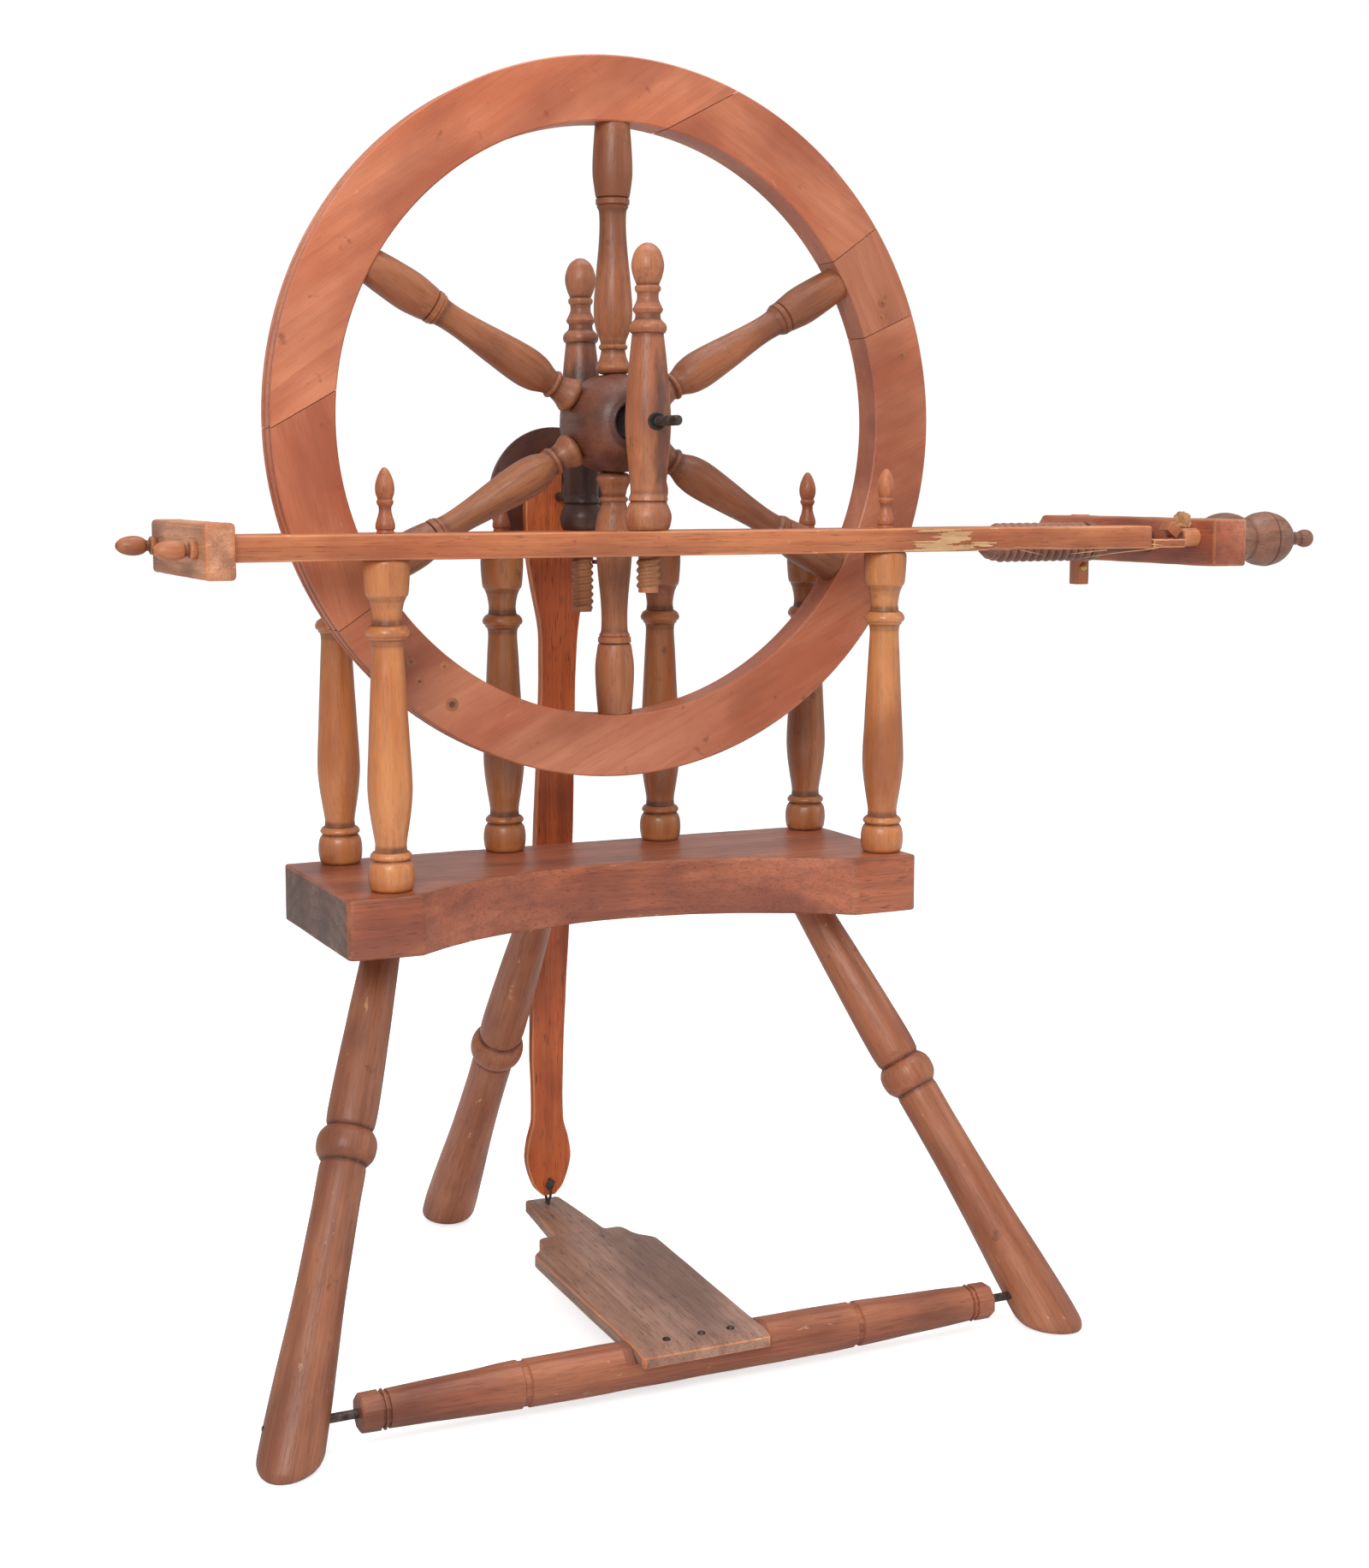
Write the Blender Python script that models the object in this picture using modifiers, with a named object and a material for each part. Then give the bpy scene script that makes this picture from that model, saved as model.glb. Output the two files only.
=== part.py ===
"""Horizontal spinning wheel with a double-rail frame, a bench on three legs, a crank, a footman
and a treadle. Metres, +Z up, floor at z = 0. +X runs along the rails to the tension screw,
+Y points away from the spinner. Plan positions are measured from the wheel's axle."""

import math

import bmesh
import bpy
from mathutils import Matrix, Vector

# ---------------------------------------------------------------- driving dimensions
GAP = 0.0003                     # clearance between pieces that touch
SIDES = 16                       # facets round a turned piece

CENTRE_X = -0.1458               # the axle's plan position, so that the origin is
CENTRE_Y = -0.0411               # under the middle of the whole object
AXLE_Z = 0.652                   # axle height above the floor

RIM_R = 0.250
RIM_INNER_R = 0.206
RIM_THICK = 0.026
RIM_JOINTS = (18.6, 34.9, 74.0, 178.0, 214.2)
RIM_STEP = 6.0                   # degrees between rim facets

HUB_R = 0.0345
HUB_HALF = 0.0385
AXLE_R = 0.0035
AXLE_FRONT = 0.110               # how far the axle reaches before the wheel's plane
CRANK_Y = 0.0905
CRANK_THROW = 0.052
CRANK_PIN_END = 0.1045

RAIL_Y = 0.060                   # centre line of each rail
RAIL_WIDE = 0.034
RAIL_THICK = 0.0170
RAIL_TOP = AXLE_Z - 0.074
RAIL_LEFT = -0.2917
RAIL_BREAK = 0.4115
RAIL_TONGUE = 0.4470
REAR_DROP = 0.0025               # the rear rail sits a little lower
RAIL_HOLE_R = 0.0083
FINIAL_HOLE_R = 0.0048

POST_R = 0.0158
POST_TENON_R = 0.0080
BEARING_HOLE_R = 0.0062
BUSH_HALF = 0.0125
BALUSTER_R = 0.0155
BALUSTER_END_X = 0.188
BALUSTER_MID_X = 0.063
FINIAL_TENON_R = 0.0045
BENCH_TENON_R = 0.0060

BENCH_TOP = AXLE_Z - 0.3105
BENCH_THICK = 0.041
BENCH_LEFT = -0.226
BENCH_RIGHT = 0.203
BENCH_FRONT = -0.086
BENCH_REAR = 0.072
BENCH_SCOOP = 0.058              # depth of the hollow in the front edge
BENCH_MID_X = (BENCH_LEFT + BENCH_RIGHT) / 2
SCOOP_HALF = 0.163

LEG_TOP_X = 0.165
LEG_FOOT_X = 0.285
LEG_TOP_Y = -0.005
LEG_FOOT_Y = -0.170
REAR_LEG_X = -0.049
REAR_LEG_TOP_Y = 0.030
REAR_LEG_FOOT_Y = 0.250
LEG_TENON_R = 0.0125
LEG_TENON = 0.030                # how far a leg goes up into the bench
LEG_OVERRUN = 0.030              # turned past the floor, then cut level

BLOCK_HEIGHT = 0.036
BLOCK_TOP = AXLE_Z - 0.066
LEFT_BLOCK_THICK = 0.020
LEFT_BLOCK_REAR = 0.076
BLOCK_FRONT = -0.083
DOWEL_Z = AXLE_Z - 0.0835        # height of the end finials and the broken dowel
RIGHT_BLOCK_X = 0.4650
RIGHT_BLOCK_THICK = 0.031
RIGHT_BLOCK_TOP = AXLE_Z - 0.0695
RIGHT_BLOCK_REAR = 0.158

SCREW_Z = AXLE_Z - 0.0875
THREAD_R = 0.0152
SCREW_TIP = 0.309
THREAD_END = 0.414
SCREW_NECK_R = 0.0090
KNOB_START = 0.4985

PEG_Y = 0.116
PEG_SIDE = 0.0120
PEG_END = AXLE_Z - 0.1275
TACK_RISE = 0.0150               # brass tack above the peg's lower end
STUB_LENGTH = 0.0145
WEDGE_SIZE = (0.0110, 0.0120, 0.0085)
WEDGE_LEAN = math.radians(38)

HINGE_Y = -0.157
HINGE_Z = 0.024
HINGE_PIN_R = 0.0030
BAR_HALF = 0.2355
BAR_MID_R = 0.0165
PIN_DEPTH = 0.022                # how far a hinge pin reaches into the bar
BOARD_X = -0.012
BOARD_THICK = 0.009
BOARD_FRONT = -0.183
BOARD_TIP = 0.124
BOARD_SHOULDER = 0.044
BOARD_HALF = 0.048
BOARD_NECK_HALF = 0.0200
BOARD_TIP_HALF = 0.0142
NOTCH_RISE = 0.0065              # floor of the bar's notch above the hinge line
BOARD_Z = HINGE_Z + NOTCH_RISE + GAP + BOARD_THICK / 2
TREADLE_TILT = math.radians(1.9)
TIE_HOLE_R = 0.0084
THONG_R = 0.0012

FOOTMAN_Y = 0.110
FOOTMAN_THICK = 0.008
FOOTMAN_HALF = 0.0155
FOOTMAN_LIFT = 0.0125            # from the tie's hinge up to the footman's lower end
THONG_RISE = 0.013               # the thong's hole above the footman's lower end
DISC_R = 0.052
DISC_THICK = 0.003


# ---------------------------------------------------------------- scene and materials
def clear_scene():
    for item in list(bpy.data.objects):
        bpy.data.objects.remove(item, do_unlink=True)


def new_collection(name):
    made = bpy.data.collections.new(name)
    bpy.context.scene.collection.children.link(made)
    return made


def new_material(name, colour, roughness, metallic=0.0):
    made = bpy.data.materials.new(name)
    made.use_nodes = True
    shader = made.node_tree.nodes["Principled BSDF"]
    shader.inputs["Base Color"].default_value = (*colour, 1.0)
    shader.inputs["Roughness"].default_value = roughness
    shader.inputs["Metallic"].default_value = metallic
    return made


clear_scene()
PARTS = new_collection("spinning_wheel")
CUTTERS = new_collection("cutters")
ROOT = bpy.data.objects.new("spinning_wheel_origin", None)
PARTS.objects.link(ROOT)
ROOT.location = (CENTRE_X, CENTRE_Y, 0.0)

WALNUT = new_material("dark_brown_wood", (0.235, 0.105, 0.058), 0.42)
RED_WOOD = new_material("red_brown_wood", (0.42, 0.165, 0.075), 0.42)
HONEY_WOOD = new_material("honey_wood", (0.56, 0.25, 0.085), 0.38)
WORN_WOOD = new_material("worn_pale_wood", (0.66, 0.44, 0.24), 0.70)
GREY_WOOD = new_material("grey_brown_wood", (0.20, 0.135, 0.105), 0.55)
IRON = new_material("dark_iron", (0.09, 0.08, 0.075), 0.45, 0.9)
BRASS = new_material("brass", (0.72, 0.52, 0.22), 0.35, 0.9)
LEATHER = new_material("tan_leather", (0.55, 0.38, 0.22), 0.80)
CORD = new_material("dark_thong", (0.10, 0.075, 0.06), 0.85)


# ---------------------------------------------------------------- shape helpers
def link(obj, material, location=(0.0, 0.0, 0.0), rotation=None):
    """Put an object in the part's collection, under the root empty."""
    PARTS.objects.link(obj)
    obj.data.materials.append(material)
    obj.parent = ROOT
    obj.location = location
    if rotation is not None:
        obj.rotation_mode = "QUATERNION"
        obj.rotation_quaternion = rotation
    return obj


def turned(name, profile, material, location, rotation=None, sides=SIDES):
    """A turned piece: (height, radius) points from the top down its outer side."""
    mesh = bpy.data.meshes.new(name)
    points = [(radius, 0.0, height) for height, radius in profile]
    edges = [(i, i + 1) for i in range(len(points) - 1)]
    mesh.from_pydata(points, edges, [])
    obj = bpy.data.objects.new(name, mesh)
    screw = obj.modifiers.new("turn", "SCREW")
    screw.axis = "Z"
    screw.steps = sides
    screw.render_steps = sides
    screw.use_merge_vertices = True
    screw.merge_threshold = 0.00005
    return link(obj, material, location, rotation)


def sleeve(name, profile, bore, material, location, rotation=None, sides=SIDES):
    """A turned piece with a round hole right through it."""
    top = profile[0][0]
    bottom = profile[-1][0]
    loop = [(bottom, bore), (top, bore), *profile, (bottom, bore)]
    return turned(name, loop, material, location, rotation, sides)


def plate(name, outlines, thick, material, location, rotation=None, edge=0.0):
    """A flat piece: closed outlines in its own XY plane, extruded both ways."""
    curve = bpy.data.curves.new(name, "CURVE")
    curve.dimensions = "2D"
    curve.fill_mode = "BOTH"
    curve.extrude = thick / 2 - edge
    curve.bevel_depth = edge
    curve.bevel_resolution = 0
    curve.offset = -edge
    for outline in outlines:
        spline = curve.splines.new("POLY")
        spline.points.add(len(outline) - 1)
        for point, (x, y) in zip(spline.points, outline):
            point.co = (x, y, 0.0, 1.0)
        spline.use_cyclic_u = True
    return link(bpy.data.objects.new(name, curve), material, location, rotation)


def tube(name, points, radius, material, location=(0, 0, 0), cyclic=False, sides=2):
    """A rod, wire or thong along a path of points."""
    curve = bpy.data.curves.new(name, "CURVE")
    curve.dimensions = "3D"
    curve.bevel_depth = radius
    curve.bevel_resolution = sides
    curve.use_fill_caps = True
    spline = curve.splines.new("POLY")
    spline.points.add(len(points) - 1)
    for point, place in zip(spline.points, points):
        point.co = (*place, 1.0)
    spline.use_cyclic_u = cyclic
    return link(bpy.data.objects.new(name, curve), material, location)


def block(name, size, location, material, edge=0.0, rotation=None):
    """A squared block with its arrises taken off."""
    mesh = bpy.data.meshes.new(name)
    shape = bmesh.new()
    bmesh.ops.create_cube(shape, size=1.0, matrix=Matrix.Diagonal((*size, 1.0)))
    if edge:
        bmesh.ops.bevel(shape, geom=shape.edges[:], offset=edge, segments=1,
                        profile=0.5, affect="EDGES", material=-1)
    shape.to_mesh(mesh)
    shape.free()
    return link(bpy.data.objects.new(name, mesh), material, location, rotation)


def cutter(name, size=None, radius=None, length=None, location=(0, 0, 0), rotation=None):
    """A box or a round bar that only cuts."""
    mesh = bpy.data.meshes.new(name)
    shape = bmesh.new()
    if size is not None:
        bmesh.ops.create_cube(shape, size=1.0, matrix=Matrix.Diagonal((*size, 1.0)))
    else:
        bmesh.ops.create_cone(shape, cap_ends=True, segments=SIDES, radius1=radius,
                              radius2=radius, depth=length)
    shape.to_mesh(mesh)
    shape.free()
    obj = bpy.data.objects.new(name, mesh)
    CUTTERS.objects.link(obj)
    obj.parent = ROOT
    obj.location = location
    if rotation is not None:
        obj.rotation_mode = "QUATERNION"
        obj.rotation_quaternion = rotation
    obj.hide_render = True
    obj.display_type = "WIRE"
    return obj


def cut(target, tool):
    """Take the tool's shape out of the target."""
    if target.type == "CURVE":
        target = as_mesh(target)
    boolean = target.modifiers.new("cut_" + tool.name, "BOOLEAN")
    boolean.operation = "DIFFERENCE"
    boolean.solver = "EXACT"
    boolean.object = tool
    return target


def as_mesh(obj):
    """Turn a curve object into a mesh object of the same name and place."""
    name = obj.name
    bpy.context.view_layer.update()
    mesh = bpy.data.meshes.new_from_object(obj)
    shape = bmesh.new()
    shape.from_mesh(mesh)
    bmesh.ops.remove_doubles(shape, verts=shape.verts, dist=0.00001)
    bmesh.ops.recalc_face_normals(shape, faces=shape.faces)
    shape.to_mesh(mesh)
    shape.free()
    location = obj.location.copy()
    mode = obj.rotation_mode
    turn = obj.rotation_quaternion.copy()
    bpy.data.objects.remove(obj, do_unlink=True)
    made = bpy.data.objects.new(name, mesh)
    PARTS.objects.link(made)
    made.parent = ROOT
    made.location = location
    made.rotation_mode = mode
    made.rotation_quaternion = turn
    return made


def along(direction):
    """The turn that takes +Z to a direction."""
    return Vector(direction).to_track_quat("Z", "Y")


def circle(x, y, radius, count=12):
    return [(x + radius * math.cos(2 * math.pi * i / count),
             y + radius * math.sin(2 * math.pi * i / count)) for i in range(count)]


def arc(radius, start, end, step=RIM_STEP):
    """Points of a circle round the origin, angles in degrees."""
    count = max(1, round(abs(end - start) / step))
    angles = [math.radians(start + (end - start) * i / count) for i in range(count + 1)]
    return [(radius * math.cos(a), radius * math.sin(a)) for a in angles]


UPRIGHT = Matrix.Rotation(math.radians(90), 3, "X").to_quaternion()      # plate XY -> XZ
AXLE_TURN = along((0, -1, 0))


# ---------------------------------------------------------------- wheel
def build_rim():
    """Five felloes of unequal length, sawn from board and butted end to end."""
    half_gap = math.degrees(GAP / 2 / RIM_INNER_R)
    starts = list(RIM_JOINTS)
    ends = [*RIM_JOINTS[1:], RIM_JOINTS[0] + 360.0]
    for number, (start, end) in enumerate(zip(starts, ends), 1):
        outer = arc(RIM_R, start + half_gap, end - half_gap)
        inner = arc(RIM_INNER_R, end - half_gap, start + half_gap)
        plate(f"rim_felloe_{number}", [outer + inner], RIM_THICK, WALNUT,
              (0, 0, AXLE_Z), UPRIGHT, edge=0.0015)


SPOKE_PROFILE = (                # distance from the axle, radius
    (0.2052, 0.0), (0.2052, 0.0125), (0.172, 0.0140), (0.1545, 0.0118), (0.1505, 0.0118),
    (0.1480, 0.0098), (0.1290, 0.0096), (0.1000, 0.0122), (0.0780, 0.0137), (0.0600, 0.0110),
    (0.0534, 0.0086), (0.0430, 0.0105), (0.0380, 0.0125), (0.0350, 0.0095), (0.0350, 0.0))


def build_spokes():
    for number in range(6):
        angle = math.radians(90 - 60 * number)
        outward = Vector((math.cos(angle), 0, math.sin(angle)))
        turned(f"spoke_{number + 1}", SPOKE_PROFILE, WALNUT, (0, 0, AXLE_Z), along(outward))


HUB_PROFILE = (                  # distance before the wheel's plane, radius
    (HUB_HALF, 0.0150), (0.0350, 0.0225), (0.0300, 0.0275), (0.0235, 0.0315), (0.0150, 0.0340),
    (0.0050, HUB_R), (-0.0050, HUB_R), (-0.0150, 0.0340), (-0.0235, 0.0315), (-0.0300, 0.0275),
    (-0.0350, 0.0225), (-HUB_HALF, 0.0150))


def build_hub_and_axle():
    sleeve("hub", HUB_PROFILE, AXLE_R + GAP, WALNUT, (0, 0, AXLE_Z), AXLE_TURN, sides=24)
    path = ((0, -AXLE_FRONT, 0), (0, CRANK_Y, 0), (0, CRANK_Y, -CRANK_THROW),
            (0, CRANK_PIN_END, -CRANK_THROW))
    tube("axle_and_crank", path, AXLE_R, IRON, (0, 0, AXLE_Z))


# ---------------------------------------------------------------- posts and bearings
POST_PROFILE = (                 # height from the axle, radius
    (0.1197, 0.0), (0.1175, 0.0048), (0.1110, 0.0092), (0.1039, 0.0112), (0.0970, 0.0100),
    (0.0908, 0.0078), (0.0886, 0.0086), (0.0834, 0.0073), (0.0763, 0.0102), (0.0698, 0.0083),
    (0.0627, 0.0128), (0.0589, 0.0110), (0.0383, 0.0131), (0.0027, POST_R), (-0.0332, 0.0134),
    (-0.0477, 0.0122), (-0.0522, 0.0136), (-0.0545, 0.0122), (-0.0634, 0.0161),
    (-0.0737, 0.0144))


def build_post(name, y, drop, tenon, timber):
    """A turned upright whose threaded tenon goes down through its rail."""
    shoulder = POST_PROFILE[-1][0] - drop
    profile = [(height - drop * (height < 0), radius) for height, radius in POST_PROFILE]
    profile += [(shoulder, POST_TENON_R), (shoulder - tenon, POST_TENON_R),
                (shoulder - tenon, 0.0)]
    post = turned(name, profile, timber, (0, y, AXLE_Z))
    hole = cutter(name + "_bearing_hole", radius=BEARING_HOLE_R, length=0.06,
                  location=(0, y, AXLE_Z), rotation=AXLE_TURN)
    cut(post, hole)
    outside = BEARING_HOLE_R - GAP
    sleeve(name.replace("post", "bearing"), ((BUSH_HALF, outside), (-BUSH_HALF, outside)),
           AXLE_R + GAP, LEATHER, (0, y, AXLE_Z), AXLE_TURN, sides=12)


def build_posts():
    build_post("front_post", -RAIL_Y, 0.0, 0.043, RED_WOOD)
    build_post("rear_post", RAIL_Y, REAR_DROP, 0.060, WALNUT)
    # an iron pin stops the rear post's tenon from working up
    pin_z = RAIL_TOP - REAR_DROP - RAIL_THICK - 0.006
    block("rear_post_lock_pin", (0.0120, 0.0030, 0.0030),
          (POST_TENON_R + GAP + 0.0060, RAIL_Y, pin_z), IRON)


# ---------------------------------------------------------------- rails and end blocks
def build_rails():
    half = RAIL_WIDE / 2
    finials = (-BALUSTER_END_X, BALUSTER_END_X)
    middle = (-BALUSTER_MID_X, BALUSTER_MID_X)
    break_line = ((RAIL_BREAK, -half), (RAIL_BREAK + 0.003, -half * 0.3),
                  (RAIL_BREAK - 0.002, half * 0.2), (RAIL_BREAK + 0.004, half))
    front = [(RAIL_LEFT, half), (RAIL_LEFT, -half), *break_line]
    holes = [circle(0, 0, RAIL_HOLE_R)] + [circle(x, 0, FINIAL_HOLE_R) for x in finials]
    plate("front_rail", [front, *holes], RAIL_THICK, RED_WOOD,
          (0, -RAIL_Y, RAIL_TOP - RAIL_THICK / 2), edge=0.001)
    tongue = RAIL_TONGUE - RAIL_BREAK - 0.006
    block("front_rail_tongue", (tongue, 0.020, 0.0062),
          (RAIL_BREAK + 0.0045 + tongue / 2, -RAIL_Y - 0.004, RAIL_TOP - 0.0135), RED_WOOD,
          edge=0.0008)
    rear = [(RAIL_LEFT, -half), (RIGHT_BLOCK_X - GAP, -half),
            (RIGHT_BLOCK_X - GAP, half), (RAIL_LEFT, half)]
    holes = [circle(0, 0, RAIL_HOLE_R)]
    holes += [circle(x, 0, FINIAL_HOLE_R) for x in (*finials, *middle)]
    plate("rear_rail", [rear, *holes], RAIL_THICK, WALNUT,
          (0, RAIL_Y, RAIL_TOP - REAR_DROP - RAIL_THICK / 2), edge=0.001)


END_FINIAL_PROFILE = (           # height out of the block, radius
    (0.0275, 0.0), (0.0262, 0.0030), (0.0200, 0.0060), (0.0140, 0.0068), (0.0085, 0.0055),
    (0.0065, 0.0036), (0.0045, 0.0036), (0.0040, 0.0062), (0.0003, 0.0062), (0.0003, 0.0))


def build_blocks():
    x = RAIL_LEFT - GAP - LEFT_BLOCK_THICK / 2
    length = LEFT_BLOCK_REAR - BLOCK_FRONT
    block("left_end_block", (LEFT_BLOCK_THICK, length, BLOCK_HEIGHT),
          (x, BLOCK_FRONT + length / 2, BLOCK_TOP - BLOCK_HEIGHT / 2), WALNUT, edge=0.002)
    face = x - LEFT_BLOCK_THICK / 2
    for name, y in (("front_end_finial", -RAIL_Y), ("rear_end_finial", RAIL_Y)):
        turned(name, END_FINIAL_PROFILE, WALNUT, (face, y, DOWEL_Z), along((-1, 0, 0)),
               sides=12)

    length = RIGHT_BLOCK_REAR - BLOCK_FRONT
    x = RIGHT_BLOCK_X + RIGHT_BLOCK_THICK / 2
    mid_z = RIGHT_BLOCK_TOP - BLOCK_HEIGHT / 2
    right = block("right_end_block", (RIGHT_BLOCK_THICK, length, BLOCK_HEIGHT),
                  (x, BLOCK_FRONT + length / 2, mid_z), RED_WOOD, edge=0.002)
    hole = cutter("screw_hole", radius=SCREW_NECK_R + GAP, length=0.06,
                  location=(x, 0, SCREW_Z), rotation=along((1, 0, 0)))
    cut(right, hole)
    slot = cutter("peg_hole", size=(PEG_SIDE + 2 * GAP, PEG_SIDE + 2 * GAP, 0.08),
                  location=(x, PEG_Y, mid_z))
    cut(right, slot)
    peg_top = RIGHT_BLOCK_TOP + 0.001
    block("right_block_peg", (PEG_SIDE, PEG_SIDE, peg_top - PEG_END),
          (x, PEG_Y, (peg_top + PEG_END) / 2), HONEY_WOOD, edge=0.001)
    turned("right_block_peg_tack", ((0.0024, 0.0), (0.0020, 0.0024), (0.0003, 0.0036),
                                    (0.0003, 0.0)),
           BRASS, (x, PEG_Y - PEG_SIDE / 2, PEG_END + TACK_RISE), along((0, -1, 0)), sides=12)

    # what is left of the front rail's broken joint
    turned("front_rail_stub", ((STUB_LENGTH, 0.0), (STUB_LENGTH, 0.0068), (GAP, 0.0072),
                                (GAP, 0.0)),
           WORN_WOOD, (RIGHT_BLOCK_X, -RAIL_Y, DOWEL_Z), along((-1, 0, 0)), sides=12)
    lean = Matrix.Rotation(WEDGE_LEAN, 3, "Y").to_quaternion()
    block("front_rail_wedge", WEDGE_SIZE,
          (RIGHT_BLOCK_X - 0.0255, -RAIL_Y - 0.002, AXLE_Z - 0.0772), RED_WOOD, edge=0.0006,
          rotation=lean)


def build_leather_scrap():
    """A stitched scrap of leather caught between the stub and the block's top edge."""
    outline = ((-0.009, -0.005), (0.008, -0.005), (0.0085, 0.003), (0.002, 0.0065),
               (-0.006, 0.0055), (-0.0095, 0.001))
    plate("leather_scrap", [outline], 0.0016, LEATHER,
          (RIGHT_BLOCK_X - 0.0102, -RAIL_Y + 0.004, AXLE_Z - 0.0705), UPRIGHT)


# ---------------------------------------------------------------- tension screw
SCREW_PROFILE = (                # x, radius; the knob's end first
    (0.6312, 0.0), (0.6300, 0.0040), (0.6240, 0.0074), (0.6178, 0.0058), (0.6060, 0.0060),
    (0.6040, 0.0090), (0.5975, 0.0170), (0.5820, 0.0225), (0.5670, 0.0190), (0.5615, 0.0165),
    (0.5580, 0.0172), (0.5500, 0.0200), (0.5395, 0.0217), (0.5270, 0.0185), (0.5170, 0.0125),
    (KNOB_START, 0.0125), (KNOB_START, SCREW_NECK_R), (THREAD_END, SCREW_NECK_R),
    (THREAD_END, 0.0120), (THREAD_END - 0.004, THREAD_R), (SCREW_TIP + 0.012, THREAD_R),
    (SCREW_TIP, 0.0085), (SCREW_TIP, 0.0))


def build_tension_screw():
    turned("tension_screw", SCREW_PROFILE, WALNUT, (0, 0, SCREW_Z), along((1, 0, 0)), sides=20)


# ---------------------------------------------------------------- balusters and bench
BALUSTER_PROFILE = (             # height from the axle, radius
    (-0.0913, 0.0150), (-0.0960, BALUSTER_R), (-0.1140, 0.0142), (-0.1160, 0.0132),
    (-0.1285, 0.0098), (-0.1345, 0.0105), (-0.1385, 0.0142), (-0.1410, 0.0142),
    (-0.1490, 0.0108), (-0.2100, 0.0136), (-0.2400, 0.0150), (-0.2670, 0.0124),
    (-0.2790, 0.0106), (-0.2850, 0.0115), (-0.2885, 0.0140), (-0.2905, 0.0134),
    (-0.3010, 0.0154), (-0.3102, 0.0142))

FINIAL_PROFILE = (               # height above the rail, radius
    (0.0425, 0.0), (0.0405, 0.0024), (0.0290, 0.0062), (0.0240, 0.0060), (0.0130, 0.0046),
    (0.0030, 0.0062), (GAP, 0.0064))


def build_baluster(name, x, y, drop):
    """A turned spindle between bench and rail, with a tenon below and a bore above."""
    bore = FINIAL_TENON_R + GAP
    profile = [(height - drop * (height > -0.15), radius) for height, radius in BALUSTER_PROFILE]
    top = profile[0][0]
    foot = profile[-1][0]
    end = -(AXLE_Z - BENCH_TOP) - BENCH_THICK + 0.0005
    profile = [(top - 0.016, 0.0), (top - 0.016, bore), (top, bore), *profile,
               (foot, BENCH_TENON_R), (end, BENCH_TENON_R), (end, 0.0)]
    turned(name + "_baluster", profile, HONEY_WOOD, (x, y, AXLE_Z))

    tenon = -RAIL_THICK - 0.0150
    peg = [*FINIAL_PROFILE, (GAP, FINIAL_TENON_R), (tenon, FINIAL_TENON_R), (tenon, 0.0)]
    turned(name + "_finial", peg, RED_WOOD, (x, y, RAIL_TOP - drop), sides=12)


def build_balusters():
    for name, x in (("front_left", -BALUSTER_END_X), ("front_right", BALUSTER_END_X)):
        build_baluster(name, x, -RAIL_Y, 0.0)
    rear = (("rear_left", -BALUSTER_END_X), ("rear_mid_left", -BALUSTER_MID_X),
            ("rear_mid_right", BALUSTER_MID_X), ("rear_right", BALUSTER_END_X))
    for name, x in rear:
        build_baluster(name, x, RAIL_Y, REAR_DROP)


def leg_lines():
    """Name, top point on the bench's underside and foot point on the floor of each leg."""
    under = BENCH_TOP - BENCH_THICK
    return (("front_left_leg", (BENCH_MID_X - LEG_TOP_X, LEG_TOP_Y, under),
             (BENCH_MID_X - LEG_FOOT_X, LEG_FOOT_Y, 0.0)),
            ("front_right_leg", (BENCH_MID_X + LEG_TOP_X, LEG_TOP_Y, under),
             (BENCH_MID_X + LEG_FOOT_X, LEG_FOOT_Y, 0.0)),
            ("rear_leg", (REAR_LEG_X, REAR_LEG_TOP_Y, under),
             (REAR_LEG_X, REAR_LEG_FOOT_Y, 0.0)))


def build_bench():
    """A thick board with a hollow front edge, bored for the spindles and the legs."""
    radius = (SCOOP_HALF ** 2 + BENCH_SCOOP ** 2) / (2 * BENCH_SCOOP)
    centre_y = BENCH_FRONT + BENCH_SCOOP - radius
    half_angle = math.asin(SCOOP_HALF / radius)
    scoop = []
    for i in range(13):
        angle = half_angle * (1 - 2 * i / 12)
        scoop.append((BENCH_MID_X - radius * math.sin(angle), centre_y + radius * math.cos(angle)))
    corner = 0.004
    outline = [(BENCH_LEFT, BENCH_REAR), (BENCH_LEFT, BENCH_FRONT + corner),
               (BENCH_LEFT + corner, BENCH_FRONT), *scoop,
               (BENCH_RIGHT - corner, BENCH_FRONT), (BENCH_RIGHT, BENCH_FRONT + corner),
               (BENCH_RIGHT, BENCH_REAR)]
    spindles = [(-BALUSTER_END_X, -RAIL_Y), (BALUSTER_END_X, -RAIL_Y)]
    spindles += [(x, RAIL_Y) for x in (-BALUSTER_END_X, -BALUSTER_MID_X, BALUSTER_MID_X,
                                       BALUSTER_END_X)]
    holes = [circle(x, y, BENCH_TENON_R + GAP) for x, y in spindles]
    bench = plate("bench", [outline, *holes], BENCH_THICK, WALNUT,
                  (0, 0, BENCH_TOP - BENCH_THICK / 2), edge=0.0015)
    bench = as_mesh(bench)
    for name, top, foot in leg_lines():
        upward = (Vector(top) - Vector(foot)).normalized()
        middle = Vector(top) + upward * (LEG_TENON / 2 - 0.010)
        socket = cutter(name + "_socket", radius=LEG_TENON_R + GAP,
                        length=LEG_TENON + 0.020 + GAP, location=middle, rotation=along(upward))
        cut(bench, socket)


LEG_PROFILE = (                  # distance below the bench, radius
    (0.020, 0.0132), (0.060, 0.0150), (0.110, 0.0166), (0.137, 0.0166), (0.1415, 0.0150),
    (0.1440, 0.0185), (0.1530, 0.0200), (0.1620, 0.0185), (0.1650, 0.0150), (0.200, 0.0156),
    (0.255, 0.0168), (0.310, 0.0195), (0.350, 0.0210))


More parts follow.
